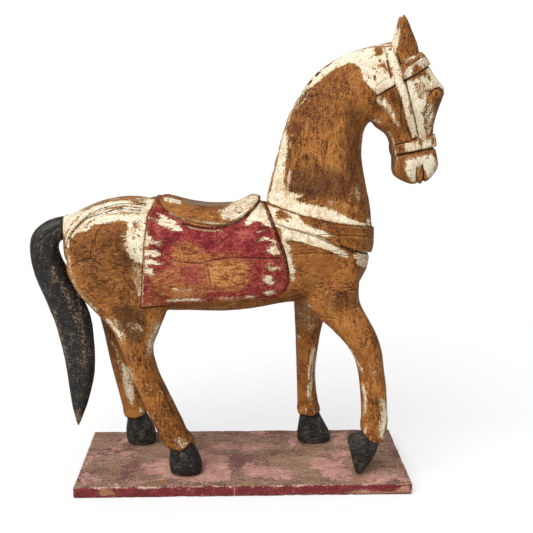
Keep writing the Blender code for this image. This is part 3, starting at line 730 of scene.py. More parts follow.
# Dark strokes of dirt, and painted shadow under the nose band and under the saddle's lip
GRIME_AND_SHADE_STROKES = {
    # Painted shadow under the nose band
    "under the nose band": (0.8, 2.5, ((397, 155), (408, 153.5), (420, 152))),
    # Painted shadow under the saddle's lip
    "under the saddle's lip": (0.5, 3.2, (
        (170, 216), (188, 227), (210, 231.5), (232, 229), (248, 220), (258, 208),
    )),
    "knot": (0.8, 2.9, ((312.5, 128), (315.5, 129))),
    "lower knot": (0.95, 2.9, ((306.5, 155.5), (307.5, 159.5))),
    "neck streak": (0.35, 7.1, ((319, 91.5), (316, 113))),
    "front neck streak": (0.3, 5.4, ((349, 100.5), (347.5, 120))),
    "poll spot": (0.62, 5, ((379, 50), (379, 54))),
    "near shin streak": (0.75, 2, ((161.5, 384.5), (168, 402), (171.5, 412.5))),
    "near shin mark": (0.5, 1.8, ((159, 411), (162.5, 419))),
    "far shin streak": (0.5, 2, ((129, 371.5), (132, 387), (134, 399.5))),
    "far fore marks": (0.85, 2, ((311, 373), (310.5, 381.5), (310, 390))),
    "near fore front": (0.4, 3.4, ((374, 335.5), (381, 348), (383.5, 365))),
}
GREY_PATCHES = {
    "seat": (0.66, (
        (181.5, 198.5), (192, 200.5), (211.5, 203), (226.5, 203), (238, 199.5), (230.5, 205.5),
        (211.5, 207), (192, 205.5), (182.5, 202.5),
    )),
}
# Golden, lighter places in the wood, partly real tone and partly painted highlight
GOLD_AND_HIGHLIGHT_PATCHES = {
    "shoulder": (0.55, (
        (288, 246), (330, 245), (352, 262), (352, 284), (330, 290), (300, 292), (292, 270),
    )),
    "upper neck": (0.15, (
        (312, 80), (330, 68), (345, 68), (352, 90), (340, 112), (318, 112), (304, 104),
    )),
    "haunch's back edge": (0.7, (
        (62, 250), (70, 243), (75, 262), (85, 290), (101, 306), (96, 312), (78, 298), (64, 272),
    )),
    "haunch's foot": (0.45, (
        (96, 300), (120, 306), (138, 310), (138, 304), (118, 300), (100, 292),
    )),
    "cloth's foot": (0.3, ((150, 283), (205, 286), (270, 282), (274, 294), (205, 298), (150, 301))),
    "cloth": (0.35, ((210, 264), (246, 263), (248, 282), (212, 285))),
    "near shin": (0.12, ((138, 356), (150, 352), (172, 400), (182, 432), (168, 432), (150, 392))),
    "near arm": (0.4, (
        (328, 316), (345, 316), (364, 350), (374, 380), (374, 430), (362, 430), (358, 380),
        (342, 342),
    )),
    "far fore leg": (0.65, ((294, 332), (306, 332), (304, 408), (297, 408))),
    "far hind leg": (0.95, (
        (106, 338), (118, 345), (136, 380), (146, 410), (142, 424), (124, 425), (114, 392),
    )),
    "ear": (0.35, ((401, 30), (406, 26), (413, 48), (404, 62), (399, 52))),
    "saddle's side": (0.4, (
        (164, 206), (180, 210), (214, 222), (236, 218), (232, 208), (196, 206),
    )),
}
ROSE_PATCHES = {
    "behind the far hoof": (0.9, (
        (111, 453), (115.5, 445.5), (127, 437.5), (130, 440.5), (122, 449),
    )),
    "between the hooves": (0.8, ((122, 453), (136, 451), (137.5, 454.5), (124, 455.5))),
    "middle front": (0.95, (
        (138, 465.5), (154.5, 458.5), (171, 457.5), (202, 450.5), (223, 454), (230, 462),
        (232.5, 472), (230, 480.5), (192.5, 481.5), (161.5, 479), (145, 472),
    )),
    "left front": (0.8, (
        (79, 476), (91, 472.5), (119.5, 483.5), (140.5, 481), (154.5, 480), (131, 484.5),
        (81.5, 485),
    )),
    "left end": (0.8, ((88.5, 452.5), (107.5, 452), (100.5, 458.5), (91, 461), (84, 467))),
    "middle back": (0.85, ((211, 445.5), (225.5, 442), (237.5, 445.5), (235, 450), (216, 450.5))),
    "middle back, right": (0.85, (
        (244.5, 445.5), (256, 444.5), (263.5, 447.5), (253.5, 451), (245.5, 450),
    )),
    "back edge": (0.85, ((253, 433.5), (261, 430), (269, 432), (263, 435.5), (255, 436))),
    "middle": (0.92, (
        (242.5, 467), (261, 465), (282, 469), (296, 472), (290.5, 479), (268, 480), (249, 476),
    )),
    "by the fore hooves": (0.9, (
        (305.5, 460), (324.5, 458.5), (343.5, 462.5), (353, 472), (349.5, 480.5), (327, 480),
        (317.5, 472), (310.5, 467),
    )),
    "behind the near fore hoof": (0.8, (
        (331.5, 452.5), (343.5, 449), (349.5, 451.5), (345.5, 459), (334, 458.5),
    )),
    "right front": (0.75, (
        (360, 479), (378.5, 472), (400, 476), (409, 481), (390.5, 482.5), (364.5, 482),
    )),
    "right back": (0.7, ((331.5, 430), (347, 432), (346, 443), (336, 445.5), (331.5, 438))),
    "far fore hoof": (0.7, ((286.5, 441), (296, 436), (297, 445.5), (289.5, 449))),
    "behind the tail end": (0.5, ((173.5, 432), (192.5, 431.5), (199.5, 436), (183, 438.5))),
}
MAUVE_PATCHES = {
    "far hoof, left": (0.85, ((103, 455.5), (106.5, 445.5), (111, 447), (110, 455))),
    "front left": (0.9, (
        (119.5, 472), (122, 464.5), (136, 462), (139.5, 467), (131, 476), (122, 481),
    )),
    "middle": (0.95, (
        (230.5, 459.5), (235, 455), (249, 454.5), (257.5, 459), (253.5, 465), (237, 466),
    )),
    "back": (0.8, ((263.5, 434), (282, 430), (291.5, 432), (272.5, 437.5))),
    "left corner": (0.8, ((78.5, 481), (81.5, 472), (95.5, 472), (93.5, 478.5), (83, 484.5))),
    "right back edge": (0.8, ((329, 429.5), (357.5, 429), (360, 431.5), (331.5, 433.5))),
    "right end": (0.6, ((390.5, 436), (400, 455), (408, 474), (402.5, 471.5), (390.5, 452.5))),
    "back left": (0.6, ((225.5, 432), (244.5, 431), (246.5, 435.5), (230, 436.5))),
}
OCHRE_PATCHES = {
    "front edge, left": (0.9, (
        (152.5, 482), (154.5, 478), (166.5, 477), (169.5, 480.5), (161.5, 484),
    )),
    "front face, left": (0.95, (
        (98, 493), (100.5, 486), (107.5, 488), (116, 491.5), (116, 495.5), (101, 495.5),
    )),
    "front face, right": (0.9, (
        (338.5, 493), (367, 489), (390.5, 491.5), (407, 483.5), (411, 488), (409.5, 493),
        (367, 494.5),
    )),
    "joint": (0.8, ((250.5, 482), (254.5, 482), (254, 488.5), (251, 489))),
}

# Rubbed places on the tail: how bare, width in pixels, line
TAIL_WEAR = {
    "rubbed patch": (0.8, 6, ((53, 269), (55, 280))),
    "outer edge": (0.6, 4, ((54, 312), (61, 338), (69, 366))),
    "middle": (0.55, 7, ((62, 283), (72, 309), (80, 330))),
    "inner edge": (0.7, 4, ((78, 296), (83, 330), (85, 365))),
    "tip": (0.9, 6, ((78, 412), (79, 426))),
    "bend": (0.3, 6, ((44, 232), (37, 248))),
}

# Where the plank's two boards may meet, and half the width of the line there, in metres
JOINT_PLACE = -0.018
JOINT_WIDTH = 0.0006

# Notches along the mane's edge: where they lie on its line, as shares of its length
MANE_LINE = (
    (269, 190), (274, 165), (282, 135), (291, 110), (303, 90), (322, 69), (342, 55), (358, 49),
    (372, 46.5),
)
MANE_NOTCHES = (0.10, 0.19, 0.27, 0.34, 0.44, 0.52, 0.60, 0.66, 0.74, 0.80, 0.88)
NOTCH_LENGTH = 0.022
NOTCH_EDGE = (0.4, 1.6)

# Distance in pixels past which nothing is looked for
FAR = 14.0


def camera_axes():
    """The photograph's right, up and forward directions."""
    yaw, pitch, roll = np.radians((CAMERA_YAW, CAMERA_PITCH, CAMERA_ROLL))
    forward = np.array((np.sin(yaw) * np.cos(pitch), np.cos(yaw) * np.cos(pitch), -np.sin(pitch)))
    level = np.array((np.cos(yaw), -np.sin(yaw), 0.0))
    upright = np.cross(level, forward)
    right = level * np.cos(roll) + upright * np.sin(roll)
    up = upright * np.cos(roll) - level * np.sin(roll)
    return right, up, forward


def to_photo(points):
    """Where each point falls in the photograph, in pixels."""
    right, up, forward = camera_axes()
    away = points - CAMERA_PLACE
    depth = away @ forward
    across = PHOTO_SIZE / 2 + PHOTO_FOCAL * (away @ right) / depth
    down = PHOTO_SIZE / 2 - PHOTO_FOCAL * (away @ up) / depth
    return np.stack([across, down], axis=1)


def ramp(values, low, high):
    """0 below low, 1 above high, smooth between."""
    share = np.clip((values - low) / (high - low), 0, 1)
    return share * share * (3 - 2 * share)


def cell_number(cells, salt):
    """A repeatable number from 0 to 1 for each whole-number cell."""
    mixed = cells @ np.array((127.1, 311.7, 74.7)) + salt * 19.19
    return np.modf(np.abs(np.sin(mixed)) * 43758.5453)[0]


def lumps(points, size, salt=0):
    """Smooth noise from -1 to 1, with lumps about size metres across."""
    scaled = points / size
    cell = np.floor(scaled)
    share = scaled - cell
    share = share * share * (3 - 2 * share)
    total = np.zeros(len(points))
    for corner in itertools.product((0, 1), repeat=3):
        weight = np.prod(np.where(corner, share, 1 - share), axis=1)
        total += weight * cell_number(cell + corner, salt)
    return 2 * total - 1


def scoops(points, size, salt=0):
    """Distance to the nearest of many scattered points, in sizes: hollows with ridges between."""
    scaled = points / size
    cell = np.floor(scaled)
    nearest = np.full(len(points), FAR)
    for corner in itertools.product((-1, 0, 1), repeat=3):
        there = cell + corner
        centre = there + np.stack([cell_number(there, salt + axis) for axis in range(3)], axis=1)
        nearest = np.minimum(nearest, np.linalg.norm(scaled - centre, axis=1))
    return nearest


def folded(points):
    """The points on the side that shows: the trunk and each leg are folded at their middle."""
    across = points[:, 1]
    leg_middle = LEG_MIDDLE * np.sign(across)
    on_trunk = -np.abs(across)
    on_leg = leg_middle - np.abs(across - leg_middle)
    share = ramp(points[:, 2], LEG_TOP, LEG_TOP + LEG_BLEND)
    shown = points.copy()
    shown[:, 1] = share * on_trunk + (1 - share) * on_leg
    return shown


def marked_out(points):
    """The pixels where the points read their marks, moved a little on the hidden side."""
    pixels = to_photo(folded(points))
    hidden = ramp(points[:, 1], *HIDDEN_FROM) * ramp(points[:, 2], LEG_TOP, LEG_TOP + LEG_BLEND)
    for axis in (0, 1):
        pixels[:, axis] += HIDDEN_SHIFT * hidden * lumps(points, HIDDEN_WAVE, salt=axis)
    return pixels


def near_enough(pixels, line):
    """Which pixels lie within FAR of the line's box."""
    low, high = line.min(axis=0) - FAR, line.max(axis=0) + FAR
    return np.all((pixels > low) & (pixels < high), axis=1)


def to_segments(pixels, line):
    """Distance from each pixel to the line, and on which side of it the pixel lies."""
    nearest = np.full(len(pixels), FAR)
    side = np.ones(len(pixels))
    for start, end in zip(line, line[1:]):
        run = end - start
        away = pixels - start
        along = np.clip(away @ run / (run @ run), 0, 1)
        distance = np.linalg.norm(away - along[:, None] * run, axis=1)
        closer = distance < nearest
        nearest = np.where(closer, distance, nearest)
        side = np.where(closer, np.sign(run[0] * away[:, 1] - run[1] * away[:, 0]), side)
    return nearest, side


def distance_to_line(pixels, line):
    """Distance in pixels to a line, FAR at the most."""
    line = np.array(line, float)
    distance = np.full(len(pixels), FAR)
    near = near_enough(pixels, line)
    distance[near] = to_segments(pixels[near], line)[0]
    return distance


def signed_distance(pixels, outline):
    """Distance in pixels to a closed outline, negative inside, FAR at the most."""
    corners = np.array(outline + outline[:1], float)
    result = np.full(len(pixels), FAR)
    near = near_enough(pixels, corners)
    here = pixels[near]
    inside = np.zeros(len(here), bool)
    for (ax, ay), (bx, by) in zip(corners, corners[1:]):
        if ay == by:
            continue
        crosses = (ay > here[:, 1]) != (by > here[:, 1])
        inside ^= crosses & (here[:, 0] < ax + (here[:, 1] - ay) * (bx - ax) / (by - ay))
    result[near] = to_segments(here, corners)[0] * np.where(inside, -1, 1)
    return result


def share_inside(pixels, outline, edge):
    """1 well inside a closed outline, 0 outside it, with a ramp edge pixels wide."""
    return 1 - ramp(signed_distance(pixels, outline), -edge / 2, edge / 2)


def covered(pixels, patches, strokes, edge):
    """How much of the paint is left at each pixel, from 0 to 1."""
    left = np.zeros(len(pixels))
    for share, outline in patches.values():
        left = np.maximum(left, share * share_inside(pixels, outline, edge))
    for share, width, line in strokes.values():
        away = distance_to_line(pixels, line) - width / 2
        left = np.maximum(left, share * (1 - ramp(away, -edge / 2, edge / 2)))
    return left


def crack_distance(pixels):
    """Signed distance to the nearest crack in shares of its half width, and its strength."""
    nearest = np.full(len(pixels), FAR)
    strength = np.zeros(len(pixels))
    for strong, half_width, line in CRACKS.values():
        line = np.array(line, float)
        near = near_enough(pixels, line)
        distance, side = to_segments(pixels[near], line)
        shares = distance / half_width
        here = np.flatnonzero(near)
        closer = shares < np.abs(nearest[here])
        nearest[here[closer]] = (shares * side)[closer]
        lasting = strong * (1 - ramp(distance, *CRACK_FADE))
        strength[here] = np.maximum(strength[here], lasting)
    return nearest, strength


def points_of(data, name="co"):
    """The mesh's points, or their normals."""
    values = np.empty(len(data.vertices) * 3, np.float32)
    data.vertices.foreach_get(name, values)
    return values.reshape(-1, 3).astype(float)


def edges_of(data):
    """The two points of each edge."""
    values = np.empty(len(data.edges) * 2, np.int32)
    data.edges.foreach_get("vertices", values)
    return values.reshape(-1, 2)


def softened(values, edges, passes):
    """Values at the points, averaged with their neighbours along the edges again and again."""
    count = len(values)
    ends = np.concatenate([edges[:, 0], edges[:, 1]])
    others = np.concatenate([edges[:, 1], edges[:, 0]])
    degree = np.maximum(np.bincount(ends, minlength=count), 1)
    columns = values.reshape(count, -1).T.copy()
    for _ in range(passes):
        for column in columns:
            column[:] = (column + np.bincount(ends, column[others], count) / degree) / 2
    return columns.T.reshape(values.shape)


def set_points(data, points):
    """Gives the mesh's points new places."""
    data.vertices.foreach_set("co", points.astype(np.float32).ravel())
    data.update()


def hollows(data, grid):
    """How far each point lies below those round it, in squares of the skin's grid."""
    points, normals = points_of(data), points_of(data, "normal")
    depth = ((softened(points, edges_of(data), HOLLOW_PASSES) - points) * normals).sum(axis=1)
    return depth / grid


def store(data, name, values):
    """Keeps a number for each point of the mesh under a name that the materials read."""
    attribute = data.attributes.new(name, "FLOAT", "POINT")
    attribute.data.foreach_set("value", np.asarray(values, np.float32))


def fine_copy(node, name, grid):
    """A copy of a solid with a fine, even skin, joined up first."""
    mesh = bmesh.new()
    mesh.from_mesh(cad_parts[node].data)
    bmesh.ops.remove_doubles(mesh, verts=mesh.verts, dist=1e-6)
    data = bpy.data.meshes.new(name)
    mesh.to_mesh(data)
    mesh.free()
    if "sharp_face" in data.attributes:
        data.attributes.remove(data.attributes["sharp_face"])
    piece = bpy.data.objects.new(name, data)
    bpy.context.scene.collection.objects.link(piece)
    skin = piece.modifiers.new("fine skin", "REMESH")
    skin.mode = "VOXEL"
    skin.voxel_size = grid
    settle(piece)
    return piece


def settle(piece):
    """Replaces the mesh by what its modifiers make of it."""
    graph = bpy.context.evaluated_depsgraph_get()
    data = bpy.data.meshes.new_from_object(piece.evaluated_get(graph))
    piece.modifiers.clear()
    piece.data = data


def thin_out(piece, most):
    """Leaves the piece at most that many triangles, fewest where it is plain."""
    piece.data.calc_loop_triangles()
    fewer = piece.modifiers.new("fewer faces", "DECIMATE")
    fewer.ratio = min(1.0, most / len(piece.data.loop_triangles))
    settle(piece)


def move_points(piece, points, box):
    """Moves the mesh's points, none of them out of the solid's own box."""
    set_points(piece.data, np.clip(points, np.array(box[0]), np.array(box[1])))


def dress(piece, node, material):
    """Hands the finished piece over to the frame."""
    for polygon in piece.data.polygons:
        polygon.use_smooth = True
    piece.data.materials.clear()
    piece.data.materials.append(material)
    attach(piece, "root")
    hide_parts(node)


def mane_notches(pixels):
    """Dark notches cut across the edge of the mane."""
    line = np.array(MANE_LINE, float)
    lengths = np.concatenate([[0], np.cumsum(np.linalg.norm(np.diff(line, axis=0), axis=1))])
    shares = lengths / lengths[-1]
    left = np.zeros(len(pixels))
    for place in MANE_NOTCHES:
        reach = (place, place + NOTCH_LENGTH)
        ends = [[np.interp(at, shares, line[:, axis]) for axis in (0, 1)] for at in reach]
        left = np.maximum(left, 1 - ramp(distance_to_line(pixels, ends), *NOTCH_EDGE))
    return left


def dark_dots(pixels):
    """1 in the middle of each dark dot on the head."""
    left = np.zeros(len(pixels))
    for place in DARK_DOTS:
        away = np.linalg.norm((pixels - np.array(place)) * DOT_SHAPE, axis=1)
        left = np.maximum(left, 1 - ramp(away, *(share * DOT_RADIUS for share in DOT_EDGE)))
    return left


def carved_height(pixels, settings):
    """Height of the saddle, cloth and harness above the plain figure, in metres."""
    cloth = share_inside(pixels, CLOTH_OUTLINE, CLOTH_EDGE)
    height = settings.cloth_relief * cloth
    height += settings.saddle_relief * share_inside(pixels, SADDLE_OUTLINE, SADDLE_EDGE)
    breast = share_inside(pixels, BREAST_TOP + BREAST_FOOT, BREAST_EDGE) * (1 - cloth)
    for strap in (CHEEK_STRAP, BROW_STRAP, THROAT_STRAP, NOSE_STRAP):
        breast = np.maximum(breast, share_inside(pixels, strap, STRAP_EDGE))
    return np.maximum(height, settings.strap_relief * breast)


def hoof_share(points, pixels, edge):
    """1 on the hooves, 0 on the legs."""
    low = points[:, 2] < HOOF_TOP
    left = np.zeros(len(points))
    for side, outline in HOOFS.values():
        here = low & (np.sign(points[:, 1]) == side)
        left[here] = np.maximum(left[here], share_inside(pixels[here], outline, edge))
    return left


def cut_marks(points, pixels, settings):
    """Height that the fine knife work adds or takes away, in metres."""
    height = np.zeros(len(points))
    for share, width, line in GROOVES.values():
        away = distance_to_line(pixels, line)
        height -= settings.groove_depth * share * np.exp(-((away / width) ** 2))
    away = distance_to_line(pixels, SADDLE_LIP)
    roll = settings.lip_height * np.exp(-(((away - LIP_PLACE) / LIP_WIDTH) ** 2))
    height += roll * share_inside(pixels, SADDLE_OUTLINE, CLOTH_EDGE)
    for strong, half_width, line in CRACKS.values():
        away = distance_to_line(pixels, line) / (half_width + CRACK_SPREAD)
        height -= settings.crack_depth * strong * np.exp(-(away**2))
    eye = np.linalg.norm(pixels - np.array(EYE_CENTRE), axis=1) / EYE_RADIUS
    rim = RIM_DEPTH * np.exp(-(((eye - RIM_PLACE) / RIM_WIDTH) ** 2))
    height += settings.eye_height * (np.exp(-(eye**2) * EYE_FALL) - rim)
    height -= settings.groove_depth * NOTCH_DEPTH * mane_notches(pixels)
    low = points[:, 2] < LEDGE_TOP
    for side, outline in HOOFS.values():
        here = low & (np.sign(points[:, 1]) == side)
        away = signed_distance(pixels[here], outline)
        ledge = (1 - ramp(away, *LEDGE_ABOVE)) * ramp(away, *LEDGE_EDGE)
        dip = DIP_DEPTH * settings.ledge_height * (1 - ramp(away, *LEDGE_DIP))
        height[here] += settings.ledge_height * ledge - dip
    return height


def knife_marks(points, pixels, settings):
    """Shallow facets that the knife left, long along the grain, in metres."""
    across, down = pixels.T
    upright = ramp(across, *NECK_FROM) * (1 - ramp(down, *NECK_FOOT))
    upright = np.maximum(upright, ramp(down, *LEGS_FROM))
    strip = ramp(across, *STRIP_FROM) * (1 - ramp(across, *STRIP_TO)) * ramp(down, *STRIP_TOP)
    upright = np.maximum(upright, strip)
    lying = scoops(points * (KNIFE_STRETCH, 1, 1), settings.facet_size, salt=3)
    standing = scoops(points * (1, 1, KNIFE_STRETCH), settings.facet_size, salt=7)
    height = upright * standing**2 + (1 - upright) * lying**2
    return settings.facet_depth * (height - KNIFE_MIDDLE), upright


def paint_the_horse(data, settings):
    """Attributes for the horse's paint, wear, cracks and hollows, and for the shade and highlight painted
    into its colour.
    """
    points, normals = points_of(data), points_of(data, "normal")
    pixels = marked_out(points)
    cream = covered(pixels, CREAM_PATCHES, CREAM_STROKES, settings.paint_edge)
    bare = covered(pixels, BARE_PATCHES, BARE_STROKES, BARE_EDGE * settings.paint_edge)
    notches = np.maximum(mane_notches(pixels), dark_dots(pixels))
    hoof = hoof_share(points, pixels, HOOF_EDGE)
    trunk = ramp(points[:, 2], *TRUNK_FROM)
    crimson_edge = CRIMSON_EDGE * settings.paint_edge
    crimson = covered(pixels, CRIMSON_PATCHES, CRIMSON_STROKES, crimson_edge) * trunk
    crimson *= 1 - share_inside(pixels, SADDLE_OUTLINE, CRIMSON_CUT)
    worn = covered(pixels, WORN_PATCHES, {}, SOFT_EDGE * settings.paint_edge)
    inner_side = ramp(normals[:, 1], *INNER_FROM) * (points[:, 1] < 0) * (1 - trunk)
    cream *= 1 - INNER_LOSS * inner_side
    cloth = share_inside(pixels, CLOTH_OUTLINE, CLOTH_CUT)
    cloth = cloth * (1 - share_inside(pixels, SADDLE_OUTLINE, CLOTH_CUT)) * trunk
    # Dirt and painted shade in one mask
    grime = covered(pixels, GRIME_AND_SHADE_PATCHES, GRIME_AND_SHADE_STROKES, SOFT_EDGE * settings.paint_edge)
    nearest, strength = crack_distance(pixels)
    _, upright = knife_marks(points, pixels, settings)
    store(data, "cream", cream * (1 - bare) * (1 - notches) * (1 - hoof))
    store(data, "crimson", crimson * (1 - WORN_LOSS * worn) * (1 - hoof))
    store(data, "cloth", cloth * (1 - hoof))
    store(data, "black", hoof)
    store(data, "rim", hoof * (1 - ramp(points[:, 2], *RIM_TO)))
    # Kept for the material: dirt, painted shade, and dirt in the notches
    store(data, "grime", np.maximum(grime, NOTCH_DIRT * notches))
    # Golden wood, partly painted highlight
    store(data, "gold", covered(pixels, GOLD_AND_HIGHLIGHT_PATCHES, {}, GOLD_AND_HIGHLIGHT_EDGE * settings.paint_edge))
    store(data, "grey", covered(pixels, GREY_PATCHES, {}, settings.paint_edge))
    # The material paints shade into the deeper hollows
    store(data, "hollow", hollows(data, settings.grid))
    store(data, "crack", np.clip(nearest, -CRACK_REACH, CRACK_REACH))
    store(data, "cracked", strength)
    store(data, "upright", upright)


def srgb(red, green, blue):
    """A colour as the shader reads it, from the values that a screen shows."""
    values = np.array((red, green, blue)) / 255
    linear = np.where(values <= 0.04045, values / 12.92, ((values + 0.055) / 1.055) ** 2.4)
    return tuple(float(value) for value in linear)


class Tone:
    """An output of a node. Sums on tones add the Math nodes that work them out."""

    def __init__(self, nodes, socket):
        self.nodes = nodes
        self.socket = socket

    def maths(self, operation, first, second):
        return self.nodes.node("ShaderNodeMath", {"operation": operation}, {0: first, 1: second})

    def __add__(self, other):
        return self.maths("ADD", self, other)

    def __radd__(self, other):
        return self.maths("ADD", other, self)

    def __sub__(self, other):
        return self.maths("SUBTRACT", self, other)

    def __rsub__(self, other):
        return self.maths("SUBTRACT", other, self)

    def __mul__(self, other):
        return self.maths("MULTIPLY", self, other)

    def __rmul__(self, other):
        return self.maths("MULTIPLY", other, self)

    def size(self):
        return self.nodes.node("ShaderNodeMath", {"operation": "ABSOLUTE"}, {0: self})

    def swing(self, amount):
        """How far the tone is from a half, times an amount."""
        return (self - 0.5) * amount

    def between(self, low, high):
        """0 below low, 1 above high, smooth between."""
        settings = {"interpolation_type": "SMOOTHSTEP"}
        sockets = {"Value": self, "From Min": low, "From Max": high}
        return self.nodes.node("ShaderNodeMapRange", settings, sockets)


class Nodes:
    """A node tree that tones are added to."""

    def __init__(self, owner):
        owner.use_nodes = True
        self.tree = owner.node_tree

    def plug(self, socket, value):
        """Links a tone to a socket, or gives the socket a value."""
        if isinstance(value, Tone):
            self.tree.links.new(value.socket, socket)
        elif socket.type == "RGBA":
            socket.default_value = (*value, 1.0)
        else:
            socket.default_value = value

    def node(self, kind, settings, sockets, output=0):
        """Adds a node: its settings first, then the values or links of its sockets."""
        node = self.tree.nodes.new(kind)
        for name, value in settings.items():
            if name == "stops":
                while len(node.color_ramp.elements) < len(value):
                    node.color_ramp.elements.new(0.5)
                for element, (position, colour) in zip(node.color_ramp.elements, value):
                    element.position = position
                    element.color = (*colour, 1.0)
            else:
                setattr(node, name, value)
        for name, value in sockets.items():
            self.plug(node.inputs[name], value)
        return Tone(self, node.outputs[output])

    def blend(self, share, under, over):
        """The colour over laid on the colour under."""
        return self.node("ShaderNodeMix", {"data_type": "RGBA"}, {0: share, 6: under, 7: over}, 2)

    def between_numbers(self, share, under, over):
        """A number that goes from under to over with the share."""
        return self.node("ShaderNodeMix", {"data_type": "FLOAT"}, {0: share, 2: under, 3: over})


class Finish(Nodes):
    """A material that is put together from tones."""

    def __init__(self, name):
        self.material = bpy.data.materials.new(name)
        super().__init__(self.material)
        self.shader = self.tree.nodes["Principled BSDF"]
        self.place = self.node("ShaderNodeTexCoord", {}, {}, "Object")

    def kept(self, name):
        """A number kept with the mesh's points."""
        return self.node("ShaderNodeAttribute", {"attribute_name": name}, {}, "Fac")

    def stretched(self, scale, turn=(0.0, 0.0, 0.0)):
        """The place on the piece, scaled so that patterns are drawn out where the scale is small."""
        sockets = {"Vector": self.place, "Rotation": turn, "Scale": scale}
        return self.node("ShaderNodeMapping", {}, sockets)

    def noise(self, scale, detail=4.0, roughness=0.55, distortion=0.0, place=None):
        sockets = {"Vector": place or self.place, "Scale": scale, "Detail": detail}
        sockets.update({"Roughness": roughness, "Distortion": distortion})
        return self.node("ShaderNodeTexNoise", {}, sockets)

    def grained(self, upright, stretch, **pattern):
        """Noise drawn out along lying grain, and the same blended into upright grain."""
        lying = self.noise(place=self.stretched((stretch, 1, 1)), **pattern)
        standing = self.noise(place=self.stretched((1, 1, stretch)), **pattern)
        return lying, self.between_numbers(upright, lying, standing)

    def cracks(self, narrow, wide):
        """1 in the cracks and in the tail's crease, whose shade is painted, 0 past their sides, in half
        widths.
        """
        return 1 - self.kept("crack").size().between(narrow, wide)

    def ramp(self, value, *stops):
        return self.node("ShaderNodeValToRGB", {"stops": stops}, {0: value})

    def bump(self, height, distance, strength, under=None):
        """A normal raised by a height, on top of the normal under it."""
        sockets = {"Height": height, "Distance": distance, "Strength": strength}
        if under:
            sockets["Normal"] = under
        return self.node("ShaderNodeBump", {}, sockets)

    def finish(self, colour, roughness, normal, specular):
        """Plugs the tones into the shader and returns the material."""
        self.plug(self.shader.inputs["Base Color"], colour)
        self.plug(self.shader.inputs["Roughness"], roughness)
        self.plug(self.shader.inputs["Normal"], normal)
        self.plug(self.shader.inputs["Specular IOR Level"], specular)
        return self.material


